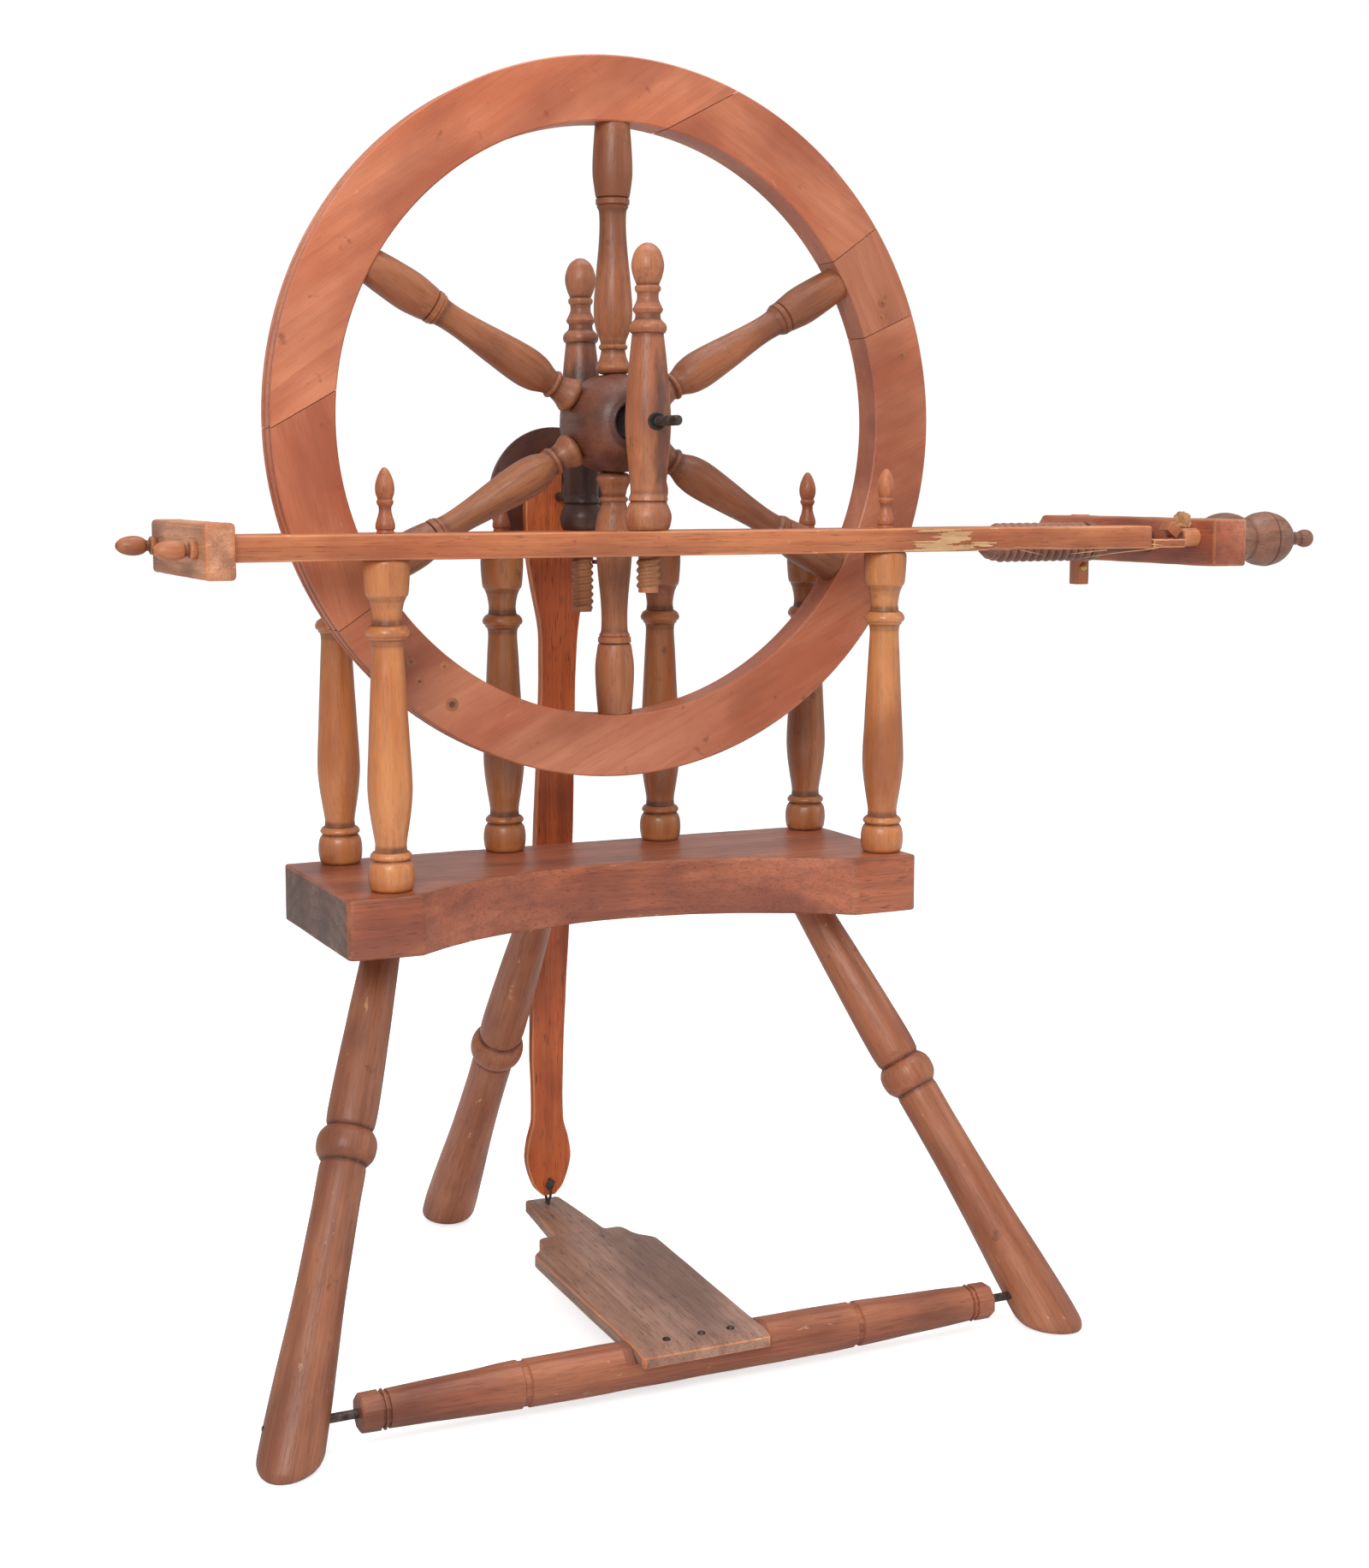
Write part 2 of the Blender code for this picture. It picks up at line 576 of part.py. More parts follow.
def build_legs():
    floor = cutter("floor_cut", size=(1.4, 1.4, 0.1), location=(0, 0, -0.05))
    for name, top, foot in leg_lines():
        line = Vector(foot) - Vector(top)
        profile = [(-LEG_TENON, 0.0), (-LEG_TENON, LEG_TENON_R), (0.002, LEG_TENON_R),
                   *LEG_PROFILE, (line.length + LEG_OVERRUN, 0.0205),
                   (line.length + LEG_OVERRUN, 0.0)]
        profile = [(-distance, radius) for distance, radius in profile]
        leg = turned(name, profile, HONEY_WOOD, top, along(-line))
        cut(leg, floor)
        if "front" in name:
            bore = cutter(name + "_pin_hole", radius=HINGE_PIN_R + GAP, length=0.10,
                          location=(pin_x(name), HINGE_Y, HINGE_Z), rotation=along((1, 0, 0)))
            cut(leg, bore)


def pin_x(name):
    """Where the treadle's hinge line meets the axis of a front leg."""
    side = -1 if "left" in name else 1
    rise = HINGE_Z / (BENCH_TOP - BENCH_THICK)
    return BENCH_MID_X + side * (LEG_FOOT_X - (LEG_FOOT_X - LEG_TOP_X) * rise)


# ---------------------------------------------------------------- treadle
def build_treadle():
    """A bar on two iron pins, with a foot board nailed into its notch."""
    bore = HINGE_PIN_R + GAP
    half = BAR_HALF
    end = ((half, 0.0125), (half - 0.013, 0.0130), (half - 0.015, 0.0115),
           (half - 0.020, 0.0130), (0.120, BAR_MID_R))
    profile = [(half, 0.0), *end, *[(-x, r) for x, r in reversed(end)], (-half, 0.0)]
    facet = Matrix.Rotation(math.radians(22.5), 3, "Z").to_quaternion()
    bar = turned("treadle_bar", profile, WALNUT, (BENCH_MID_X, HINGE_Y, HINGE_Z),
                 along((1, 0, 0)) @ facet, sides=8)
    for side in (-1, 1):
        drill = cutter("pin_bore", radius=bore, length=2 * PIN_DEPTH,
                       location=(BENCH_MID_X + side * half, HINGE_Y, HINGE_Z),
                       rotation=along((1, 0, 0)))
        cut(bar, drill)
    tilt = Matrix.Rotation(TREADLE_TILT, 3, "X").to_quaternion()
    pivot = Vector((BOARD_X, HINGE_Y, BOARD_Z))
    notch = cutter("board_notch", size=(2 * BOARD_HALF + 2 * GAP, 0.08, 0.040),
                   location=pivot + tilt @ Vector((0, 0, 0.020 - BOARD_THICK / 2 - GAP)),
                   rotation=tilt)
    cut(bar, notch)
    plate("treadle_board", board_outline(), BOARD_THICK, RED_WOOD, pivot, tilt, edge=0.0008)
    for number, shift in enumerate((-0.022, 0.004, 0.026), 1):
        head = pivot + tilt @ Vector((shift, -0.006, BOARD_THICK / 2 + GAP))
        turned(f"treadle_nail_{number}", ((0.0012, 0.0), (0.0008, 0.0024), (0.0, 0.0026),
                                          (0.0, 0.0)),
               IRON, head, tilt, sides=8)
    for name in ("front_left_leg", "front_right_leg"):
        side = -1 if "left" in name else 1
        inner = BENCH_MID_X + side * (BAR_HALF - PIN_DEPTH + 0.001)
        outer = pin_x(name) + side * 0.022
        tube("treadle_pin_left" if side < 0 else "treadle_pin_right",
             ((inner, 0, 0), (outer, 0, 0)), HINGE_PIN_R, IRON, (0, HINGE_Y, HINGE_Z))


def board_outline():
    """A wide foot plate that draws in through an ogee to a narrow tongue, with a hole."""
    front = BOARD_FRONT - HINGE_Y
    tip = BOARD_TIP - HINGE_Y
    shoulder = BOARD_SHOULDER - HINGE_Y
    right = [(BOARD_HALF - 0.003, front), (BOARD_HALF, front + 0.003), (BOARD_HALF, 0.020),
             (0.0492, shoulder - 0.037), (0.0484, shoulder - 0.031), (0.0400, shoulder - 0.021),
             (0.0370, shoulder - 0.015), (0.0340, shoulder - 0.003), (0.0300, shoulder),
             (BOARD_NECK_HALF + 0.0015, shoulder + 0.0005), (BOARD_NECK_HALF, shoulder + 0.003),
             (BOARD_TIP_HALF, tip - 0.002), (BOARD_TIP_HALF - 0.002, tip)]
    left = [(-x, y) for x, y in reversed(right)]
    hole = circle(0, tie_reach(), TIE_HOLE_R)
    return [right + left, hole]


def tie_reach():
    """Distance from the hinge line to the tie along the tilted board."""
    return (FOOTMAN_Y - HINGE_Y) / math.cos(TREADLE_TILT)


def tie_height():
    """Height of the middle of the board at the tie."""
    return BOARD_Z + (FOOTMAN_Y - HINGE_Y) * math.tan(TREADLE_TILT)


# ---------------------------------------------------------------- footman
def build_footman():
    """A flat connecting board, hung on the crank above and tied to the treadle below."""
    base = tie_height()
    pin = AXLE_Z - CRANK_THROW - base
    low = FOOTMAN_LIFT
    lean = -BOARD_X              # the head stands under the axle, the foot a little to its left
    w = FOOTMAN_HALF
    right = [(0.004, low), (0.012, low + 0.012), (0.0182, low + 0.030), (0.0165, low + 0.045),
             (0.0125, low + 0.062), (w * 0.86, low + 0.120), (w + lean * 0.5, pin * 0.5),
             (w * 0.95 + lean, pin - 0.110), (0.0225 + lean, pin - 0.060),
             (0.0245 + lean, pin - 0.045), (0.026 + lean, pin), (0.020 + lean, pin + 0.024),
             (0.009 + lean, pin + 0.036)]
    left = [(-0.009 + lean, pin + 0.036), (-0.020 + lean, pin + 0.024), (-0.026 + lean, pin),
            (-0.0245 + lean, pin - 0.045), (-0.0225 + lean, pin - 0.060),
            (-w * 0.95 + lean, pin - 0.110), (-w + lean * 0.5, pin * 0.5), (-w * 0.86, low + 0.120),
            (-0.0125, low + 0.062), (-0.0165, low + 0.045), (-0.0182, low + 0.030),
            (-0.012, low + 0.012), (-0.004, low)]
    tie_hole = circle(0, low + THONG_RISE, 2 * THONG_R, 8)
    place = (BOARD_X, FOOTMAN_Y, base)
    plate("footman", [right + left, tie_hole], FOOTMAN_THICK, RED_WOOD, place, UPRIGHT,
          edge=0.0008)
    disc_y = FOOTMAN_Y + FOOTMAN_THICK / 2 + GAP
    disc = ((DISC_THICK, 0.0), (DISC_THICK, DISC_R), (0.0, DISC_R), (0.0, 0.0))
    turned("footman_disc", disc, GREY_WOOD, (BOARD_X + lean, disc_y, base + pin),
           along((0, 1, 0)), sides=32)
    keeper = ((0.0060, 0.0), (0.0060, 0.0034), (0.0015, 0.0034), (0.0015, 0.0085),
              (0.0, 0.0085), (0.0, 0.0))
    turned("crank_keeper", keeper, IRON,
           (BOARD_X + lean, disc_y + DISC_THICK + GAP, base + pin), along((0, 1, 0)), sides=12)

    # the thong: through the footman's hole, down both faces and round under the tongue
    out = FOOTMAN_THICK / 2 + GAP + THONG_R + 0.0006
    top = low + THONG_RISE
    side = [(out - 0.0015, top), (out, top - 0.0015), (out, low), (0.0024, 0.0080),
            (0.0016, 0.0), (0.0016, -0.0090)]
    loop = [(0.0, y, z) for y, z in side] + [(0.0, -y, z) for y, z in reversed(side)]
    tube("footman_tie", loop, THONG_R, CORD, place, cyclic=True, sides=1)


build_rim()
build_spokes()
build_hub_and_axle()
build_posts()
build_rails()
build_blocks()
build_leather_scrap()
build_tension_screw()
build_balusters()
build_bench()
build_legs()
build_treadle()
build_footman()
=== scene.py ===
# %% [markdown]
# # A spinning wheel in turned and sawn wood
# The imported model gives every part's place and the joints. This lesson dresses it: each part is
# made again with finer turning, worn edges and a wood finish, and rides on the same body.

# %% Load the frame
import math

import bmesh
import bpy
from mathutils import Matrix, Vector, noise
from mathutils.geometry import interpolate_bezier


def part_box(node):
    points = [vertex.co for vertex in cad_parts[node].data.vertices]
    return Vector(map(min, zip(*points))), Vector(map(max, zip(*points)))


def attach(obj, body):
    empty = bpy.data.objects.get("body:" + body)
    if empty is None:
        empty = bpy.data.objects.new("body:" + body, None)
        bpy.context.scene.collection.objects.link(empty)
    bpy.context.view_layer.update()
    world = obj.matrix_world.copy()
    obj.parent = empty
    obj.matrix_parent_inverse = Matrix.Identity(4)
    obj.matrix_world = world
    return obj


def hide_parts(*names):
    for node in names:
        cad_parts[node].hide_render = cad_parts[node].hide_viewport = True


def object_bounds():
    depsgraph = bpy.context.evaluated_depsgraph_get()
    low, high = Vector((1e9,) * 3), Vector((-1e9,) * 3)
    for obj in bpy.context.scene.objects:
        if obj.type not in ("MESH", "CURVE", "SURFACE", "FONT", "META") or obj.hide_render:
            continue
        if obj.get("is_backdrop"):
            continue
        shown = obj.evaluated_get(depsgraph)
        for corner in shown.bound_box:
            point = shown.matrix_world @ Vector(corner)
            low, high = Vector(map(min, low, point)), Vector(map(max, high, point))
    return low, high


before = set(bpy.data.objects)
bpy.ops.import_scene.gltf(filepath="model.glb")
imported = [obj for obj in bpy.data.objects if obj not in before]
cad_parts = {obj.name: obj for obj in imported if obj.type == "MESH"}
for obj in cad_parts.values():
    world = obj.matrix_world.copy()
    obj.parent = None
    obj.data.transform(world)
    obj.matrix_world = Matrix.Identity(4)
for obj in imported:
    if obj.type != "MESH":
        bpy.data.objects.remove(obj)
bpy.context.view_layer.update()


# %% [markdown]
# ## Where things are
# The wheel's axle is the best place to measure from, because the wheel, the posts, the rails and
# the crank all line up on it. The hub's box is centred on the axle, so its middle is our zero.

# %% The axle, and places measured from it
def middle(node):
    low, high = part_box(node)
    return (low + high) / 2


AXLE = middle("hub")


def at(x, y, z):
    """A place measured from the axle: along the rails, away from the spinner, and up."""
    return AXLE + Vector((x, y, z))


def turn_to(direction):
    """The turn that takes up (+Z) to a direction."""
    return Vector(direction).to_track_quat("Z", "Y").to_matrix().to_4x4()


RAIL_Y = 0.060
REAR_DROP = 0.0025
FOOTMAN_Y = 0.110
print("axle at", [round(value, 4) for value in AXLE])

# %% [markdown]
# ## The camera and the room
# A long lens a little above the rails keeps the wheel round. The light is that of a white studio:
# a bright even surround, a large soft lamp in front on the left, and a pale floor.

# %% Camera
LONG_SIDE = 36.0
LENS = 51.2
yaw = math.radians(25.0)
pitch = math.radians(7.78)
look = Vector((math.sin(yaw) * math.cos(pitch), math.cos(yaw) * math.cos(pitch),
               -math.sin(pitch)))
lens = bpy.data.cameras.new("studio_camera")
lens.lens = LENS
lens.sensor_width = LONG_SIDE
camera = bpy.data.objects.new("studio_camera", lens)
camera.location = at(-0.630, -1.470, -0.039)
camera.rotation_euler = look.to_track_quat("-Z", "Y").to_euler()
bpy.context.scene.collection.objects.link(camera)
bpy.context.scene.camera = camera
print("camera stands", round((camera.location - AXLE).length, 3), "m from the axle")


# %% [markdown]
# Three square lamps do the lighting: one in front on the left, a larger one overhead, and a weak
# one on the right that fills the shadows. The floor and the sky look whiter to the camera than they shine on the wood, so the
# background stays clean while the object keeps its contrast.

# %% Light and floor
def soft_lamp(name, place, aim, size, power):
    """A square lamp that shines at a point."""
    lamp = bpy.data.lights.new(name, "AREA")
    lamp.shape = "SQUARE"
    lamp.size = size
    lamp.energy = power
    stand = bpy.data.objects.new(name, lamp)
    stand.location = place
    stand.rotation_euler = (Vector(aim) - Vector(place)).to_track_quat("-Z", "Y").to_euler()
    bpy.context.scene.collection.objects.link(stand)


soft_lamp("key_lamp", (-1.7, -2.4, 1.9), (0, 0, 0.5), 1.3, 58)
soft_lamp("top_lamp", (0.2, -0.2, 3.0), (0, 0, 0.4), 2.4, 52)
soft_lamp("fill_lamp", (2.6, -1.4, 1.4), (0, 0, 0.5), 1.6, 12)

print("lamps:", sorted(lamp.name for lamp in bpy.data.lights))

SKY_LIGHT = 0.50
room = bpy.data.worlds.new("white_room")
room.use_nodes = True
sky = room.node_tree.nodes["Background"]
seen = room.node_tree.nodes.new("ShaderNodeLightPath")
lift = room.node_tree.nodes.new("ShaderNodeMapRange")
lift.inputs["To Min"].default_value = SKY_LIGHT
lift.inputs["To Max"].default_value = 1.05
room.node_tree.links.new(seen.outputs["Is Camera Ray"], lift.inputs["Value"])
room.node_tree.links.new(lift.outputs["Result"], sky.inputs["Strength"])
sky.inputs["Color"].default_value = (1.0, 1.0, 1.0, 1.0)
bpy.context.scene.world = room
bpy.context.scene.view_settings.view_transform = "Standard"

ground = bmesh.new()
bmesh.ops.create_circle(ground, cap_ends=True, segments=64, radius=14.0)
ground_mesh = bpy.data.meshes.new("studio_floor")
ground.to_mesh(ground_mesh)
ground.free()
floor = bpy.data.objects.new("studio_floor", ground_mesh)
floor.location.z = -0.0005
bpy.context.scene.collection.objects.link(floor)
pale = bpy.data.materials.new("pale_floor")
pale.use_nodes = True
paper = pale.node_tree.nodes["Principled BSDF"]
paper.inputs["Base Color"].default_value = (0.72, 0.72, 0.72, 1)
paper.inputs["Roughness"].default_value = 0.9
paper.inputs["Specular IOR Level"].default_value = 0.2
paper.inputs["Emission Color"].default_value = (1.0, 1.0, 1.0, 1.0)
glow = pale.node_tree.nodes.new("ShaderNodeLightPath")
faint = pale.node_tree.nodes.new("ShaderNodeMath")
faint.operation = "MULTIPLY"
faint.inputs[1].default_value = 0.66
pale.node_tree.links.new(glow.outputs["Is Camera Ray"], faint.inputs[0])
pale.node_tree.links.new(faint.outputs[0], paper.inputs["Emission Strength"])
ground_mesh.materials.append(pale)
floor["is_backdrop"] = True

# %% [markdown]
# ## Building a finish from nodes
# A finish is a small network. `put` adds one node and connects or sets its sockets in one line,
# so that a network reads from top to bottom like a recipe. Colours are written as the numbers
# from 0 to 255 that a paint chart gives, and turned into the linear values a shader wants.

# %% Node helpers
def paint(red, green, blue):
    """A colour as a chart gives it, in the linear values that a shader wants."""
    return tuple((value / 255) ** 2.2 for value in (red, green, blue)) + (1.0,)


def put(tree, kind, sockets=None, **settings):
    node = tree.nodes.new("ShaderNode" + kind)
    for name, value in settings.items():
        setattr(node, name, value)
    for key, value in (sockets or {}).items():
        if isinstance(value, bpy.types.NodeSocket):
            tree.links.new(value, node.inputs[key])
        else:
            node.inputs[key].default_value = value
    return node


def calc(tree, operation, first, second=0.0):
    return put(tree, "Math", {0: first, 1: second}, operation=operation).outputs[0]


def span(tree, value, low, high, to_low=0.0, to_high=1.0):
    """Stretch a range of values to another, cut off at both ends."""
    sockets = {"Value": value, "From Min": low, "From Max": high, "To Min": to_low,
               "To Max": to_high}
    return put(tree, "MapRange", sockets).outputs["Result"]


def blend(tree, amount, first, second):
    return put(tree, "Mix", {0: amount, 6: first, 7: second}, data_type="RGBA").outputs[2]


def speckle(tree, where, scale, detail=2.0, rough=0.5):
    sockets = {"Vector": where, "Scale": scale, "Detail": detail, "Roughness": rough}
    return put(tree, "TexNoise", sockets).outputs["Fac"]


def stretched(tree, where, x, y, z):
    return put(tree, "VectorMath", {0: where, 1: (x, y, z)}, operation="MULTIPLY").outputs[0]


def new_finish(name):
    made = bpy.data.materials.new(name)
    made.use_nodes = True
    return made, made.node_tree, made.node_tree.nodes["Principled BSDF"]


# %% [markdown]
# ## Wood that knows its grain
# Every piece carries three attributes that are written when it is made. `grain` is the point's
# place in the log, with Z along the fibres, so year rings show as long streaks on the sides and
# as arcs on a sawn end. `hollow` says how deep the point lies in a groove, where dirt stays, or
# how far it stands out, where hands rub the stain away. `shade` makes each piece a little
# lighter or darker than the next. One network then serves all the timber.

# %% The timber finish
RAW_WOOD = paint(216, 170, 124)
GRIME = paint(62, 34, 26)


def timber(name, pale, body, deep, rings=0.45, pores=0.5, wear=0.3, rough=0.44, coat=0.12,
           streaks=1.0, soot=None):
    """Stained wood. soot is (centre, half width, soft edge, bottom, top) of a black streak."""
    made, tree, shader = new_finish(name)
    log = put(tree, "Attribute", attribute_name="grain").outputs["Vector"]
    fibres = stretched(tree, log, 1.0, 1.0, 0.07)
    bend = speckle(tree, fibres, 9.0, 3.0)
    warped = put(tree, "VectorMath", {0: fibres, 1: stretched(tree, put(
        tree, "TexNoise", {"Vector": fibres, "Scale": 12.0}).outputs["Color"], 0.03, 0.03, 0.03)},
        operation="ADD").outputs[0]
    year = put(tree, "TexWave", {"Vector": warped, "Scale": 30.0, "Distortion": 5.0, "Detail": 4.0,
                                 "Detail Scale": 1.8}, wave_type="RINGS", rings_direction="Z",
               wave_profile="SAW").outputs["Fac"]
    streak = speckle(tree, stretched(tree, log, 1.0, 1.0, 0.018), 620.0, 5.0, 0.66)
    broad = speckle(tree, stretched(tree, log, 1.0, 1.0, 0.05), 120.0, 3.0, 0.6)
    pore = span(tree, speckle(tree, stretched(tree, log, 1.0, 1.0, 0.045), 1500.0, 2.0), 0.60, 0.70)
    cloud = speckle(tree, stretched(tree, log, 1.0, 1.0, 0.30), 26.0, 4.0, 0.55)

    colour = blend(tree, span(tree, cloud, 0.36, 0.66), body, pale)
    seen = calc(tree, "MULTIPLY", span(tree, year, 0.35, 1.0), span(tree, cloud, 0.36, 0.64, 0.3))
    colour = blend(tree, calc(tree, "MULTIPLY", seen, rings), colour, deep)
    colour = blend(tree, span(tree, broad, 0.48, 0.72, 0.0, 0.42 * streaks), colour, deep)
    colour = blend(tree, span(tree, streak, 0.50, 0.76, 0.0, 0.50 * streaks), colour, deep)
    colour = blend(tree, span(tree, streak, 0.46, 0.26, 0.0, 0.30 * streaks), colour, pale)
    colour = blend(tree, calc(tree, "MULTIPLY", pore, pores), colour, GRIME)

    hollow = put(tree, "Attribute", attribute_name="hollow").outputs["Fac"]
    patchy = speckle(tree, log, 95.0, 4.0, 0.6)
    dirt = calc(tree, "MULTIPLY", span(tree, hollow, 0.05, 0.85),
                span(tree, patchy, 0.30, 0.60, 0.55, 1.0))
    colour = blend(tree, calc(tree, "MULTIPLY", dirt, 0.78), colour, GRIME)
    rubbed = calc(tree, "MULTIPLY", span(tree, hollow, -0.10, -0.70),
                  span(tree, patchy, 0.46, 0.62))
    colour = blend(tree, calc(tree, "MULTIPLY", rubbed, 0.35), colour, pale)
    chip = span(tree, speckle(tree, stretched(tree, log, 1.0, 1.0, 0.45), 150.0, 5.0, 0.62),
                0.705 - 0.05 * wear, 0.735 - 0.05 * wear)
    colour = blend(tree, calc(tree, "MULTIPLY", chip, 0.75 * wear), colour, RAW_WOOD)
    spot = span(tree, speckle(tree, log, 60.0, 4.0, 0.6), 0.66, 0.74)
    colour = blend(tree, calc(tree, "MULTIPLY", spot, 0.5), colour, GRIME)
    if soot is not None:
        centre, half, soft, low, high = soot
        place = put(tree, "VectorMath", {0: put(tree, "TexCoord").outputs["Object"], 1: centre},
                    operation="SUBTRACT").outputs[0]
        axes = put(tree, "SeparateXYZ", {0: place})
        ragged = calc(tree, "MULTIPLY", calc(tree, "SUBTRACT", speckle(
            tree, stretched(tree, place, 1.0, 1.0, 0.4), 130.0, 3.0), 0.5), 0.012)
        side = calc(tree, "ADD", calc(tree, "ABSOLUTE", axes.outputs["X"]), ragged)
        mark = span(tree, side, half, half - soft)
        height = calc(tree, "ADD", axes.outputs["Z"], calc(tree, "MULTIPLY", ragged, 3.0))
        mark = calc(tree, "MULTIPLY", mark, span(tree, height, low - 0.010, low + 0.004))
        mark = calc(tree, "MULTIPLY", mark, span(tree, height, high + 0.012, high - 0.004))
        colour = blend(tree, calc(tree, "MULTIPLY", mark, 0.86), colour, paint(58, 46, 44))

    aged = blend(tree, span(tree, speckle(tree, stretched(tree, log, 1.0, 1.0, 0.5), 17.0, 3.0),
                            0.52, 0.36, 0.0, 0.55), colour, deep)
    shade = put(tree, "Attribute", attribute_name="shade").outputs["Fac"]
    lifted = put(tree, "HueSaturation", {"Hue": 0.5, "Value": span(
        tree, shade, -1.0, 1.0, 0.60, 1.40), "Color": aged}).outputs["Color"]
    relief = calc(tree, "ADD", calc(tree, "MULTIPLY", streak, 0.7),
                  calc(tree, "MULTIPLY", calc(tree, "ADD", pore, chip), -0.5))
    relief = calc(tree, "ADD", relief, calc(tree, "MULTIPLY", bend, 0.8))
    bump = put(tree, "Bump", {"Height": relief, "Distance": 0.0005, "Strength": 0.45})
    tree.links.new(lifted, shader.inputs["Base Color"])
    tree.links.new(span(tree, calc(tree, "ADD", streak, calc(tree, "MULTIPLY", dirt, 0.4)),
                        0.3, 1.0, rough - 0.06, rough + 0.22), shader.inputs["Roughness"])
    tree.links.new(bump.outputs["Normal"], shader.inputs["Normal"])
    shader.inputs["Specular IOR Level"].default_value = 0.45
    shader.inputs["Coat Weight"].default_value = coat
    shader.inputs["Coat Roughness"].default_value = 0.28
    return made


rim_stain = timber("rim_stain", paint(189, 119, 88), paint(170, 94, 64), paint(129, 64, 42),
                   rings=0.20, pores=0.20, wear=0.25, streaks=0.45)
walnut_stain = timber("walnut_stain", paint(184, 117, 78), paint(158, 92, 58), paint(102, 54, 33),
                      rings=0.22, pores=0.35, wear=0.35)
honey_stain = timber("honey_stain", paint(203, 133, 81), paint(180, 104, 58),
                     paint(126, 63, 33), rings=0.18, pores=0.25, wear=0.35, rough=0.34,
                     coat=0.30, streaks=0.7)
leg_stain = timber("leg_stain", paint(180, 116, 83), paint(156, 91, 61), paint(103, 55, 38),
                   rings=0.20, pores=0.35, wear=0.75, rough=0.46)
bar_stain = timber("bar_stain", paint(151, 92, 65), paint(125, 68, 48), paint(75, 40, 28),
                   rings=0.22, pores=0.50, wear=0.60, rough=0.48)
rail_stain = timber("rail_stain", paint(189, 118, 77), paint(166, 92, 57), paint(119, 59, 37),
                    rings=0.28, pores=0.55, wear=0.40)
bench_stain = timber("bench_stain", paint(205, 118, 80), paint(176, 92, 61), paint(108, 51, 37),
                     rings=0.25, pores=0.80, wear=0.45, rough=0.44, coat=0.35)
end_grain = timber("end_grain", paint(150, 116, 100), paint(122, 90, 78), paint(76, 52, 44),
                   rings=0.55, pores=0.70, wear=0.45, rough=0.62)
dusky_stain = timber("dusky_stain", paint(156, 106, 84), paint(126, 80, 62), paint(76, 44, 34),
                     rings=0.25, pores=0.45, wear=0.35, rough=0.46)
hub_stain = timber("hub_stain", paint(131, 82, 61), paint(103, 58, 43), paint(63, 33, 27),
                   rings=0.30, pores=0.45, wear=0.30, rough=0.44)
footman_stain = timber("footman_stain", paint(190, 98, 52), paint(165, 78, 40),
                       paint(107, 46, 24), rings=0.12, pores=0.95, wear=0.15)
# The footman's round plate is near-black: partly its own dark stain, partly painted shade.
plate_stain_and_shade = timber("plate_stain_and_shade", paint(84, 41, 23), paint(67, 30, 16), paint(41, 17, 11),
                     rings=0.20, pores=0.50, wear=0.15)
tread_stain = timber("tread_stain", paint(172, 132, 112), paint(142, 104, 86),
                     paint(84, 56, 46), rings=0.32, pores=0.90, wear=0.30, rough=0.50, coat=0.25)
raw_timber = timber("raw_timber", paint(230, 186, 138), paint(208, 156, 106),
                    paint(156, 98, 62), rings=0.25, pores=0.30, wear=0.0, rough=0.62)
tenon_timber = timber("tenon_timber", paint(188, 130, 84), paint(158, 98, 62),
                      paint(112, 66, 42), rings=0.25, pores=0.30, wear=0.2, rough=0.58)
worn_arris = timber("worn_arris", paint(214, 144, 98), paint(184, 110, 72),
                    paint(130, 70, 46), rings=0.20, pores=0.30, wear=0.80, rough=0.50)
bench_arris = timber("bench_arris", paint(205, 128, 90), paint(168, 92, 62),
                     paint(106, 52, 38), rings=0.20, pores=0.60, wear=1.30, rough=0.50)
print("timber finishes:", sum("Attribute" in item.node_tree.nodes for item in bpy.data.materials
                              if item.use_nodes))


# %% [markdown]
# ## Metal, leather and thong
# The fittings are plain: forged iron gone brown, a brass tack, and leather rubbed dark. Each
# colour is broken up by two sizes of noise on the object's own coordinates.

# %% The fittings' finishes
def fitting(name, first, second, scale, rough, metal=0.0, spots=None):
    made, tree, shader = new_finish(name)
    here = put(tree, "TexCoord").outputs["Object"]
    large = speckle(tree, here, scale, 4.0, 0.6)
    small = speckle(tree, here, scale * 7, 3.0, 0.6)
    colour = blend(tree, span(tree, large, 0.38, 0.62), first, second)
    if spots is not None:
        colour = blend(tree, span(tree, small, 0.55, 0.68), colour, spots)
    bump = put(tree, "Bump", {"Height": calc(tree, "ADD", large, small), "Distance": 0.0004,
                              "Strength": 0.5})
    tree.links.new(colour, shader.inputs["Base Color"])
    tree.links.new(span(tree, small, 0.3, 0.7, rough - 0.1, rough + 0.15),
                   shader.inputs["Roughness"])
    tree.links.new(bump.outputs["Normal"], shader.inputs["Normal"])
    shader.inputs["Metallic"].default_value = metal
    return made


iron = fitting("forged_iron", paint(96, 88, 84), paint(58, 50, 48), 160, 0.42, metal=0.75,
               spots=paint(104, 66, 44))
brass = fitting("old_brass", paint(206, 170, 104), paint(150, 112, 58), 240, 0.34, metal=0.9)
leather = fitting("tan_leather", paint(206, 162, 116), paint(166, 116, 80), 130, 0.78,
                  spots=paint(112, 74, 52))
dark_leather = fitting("greased_leather", paint(84, 70, 64), paint(48, 40, 38), 150, 0.60)
thong = fitting("dark_thong", paint(70, 60, 54), paint(40, 34, 32), 300, 0.72)
# A near-black finish that is painted shadow: the bottom of each hub recess and the ring round the
# axle in each bearing.
bore_shadow = fitting("painted_bore_shadow", paint(40, 32, 30), paint(24, 20, 19), 120, 0.8)
print("finishes in all:", len(bpy.data.materials))


# %% [markdown]
# ## Turning on the lathe
# A turner works to a template: a thin board with half the outline cut into it. Here a template
# is a short list of (height, radius) points. Most are joined by smooth curves, as a gouge would
# leave them, and a third value of 1 marks a sharp cut. The outline becomes a chain of edges,
# and `spin` carries it once round, which is exactly what the lathe does.

# %% Lathe helpers
LATHE_STEPS = 56
CURVE_STEPS = 6
TREMOR = 0.00012
MERGE = 0.00001


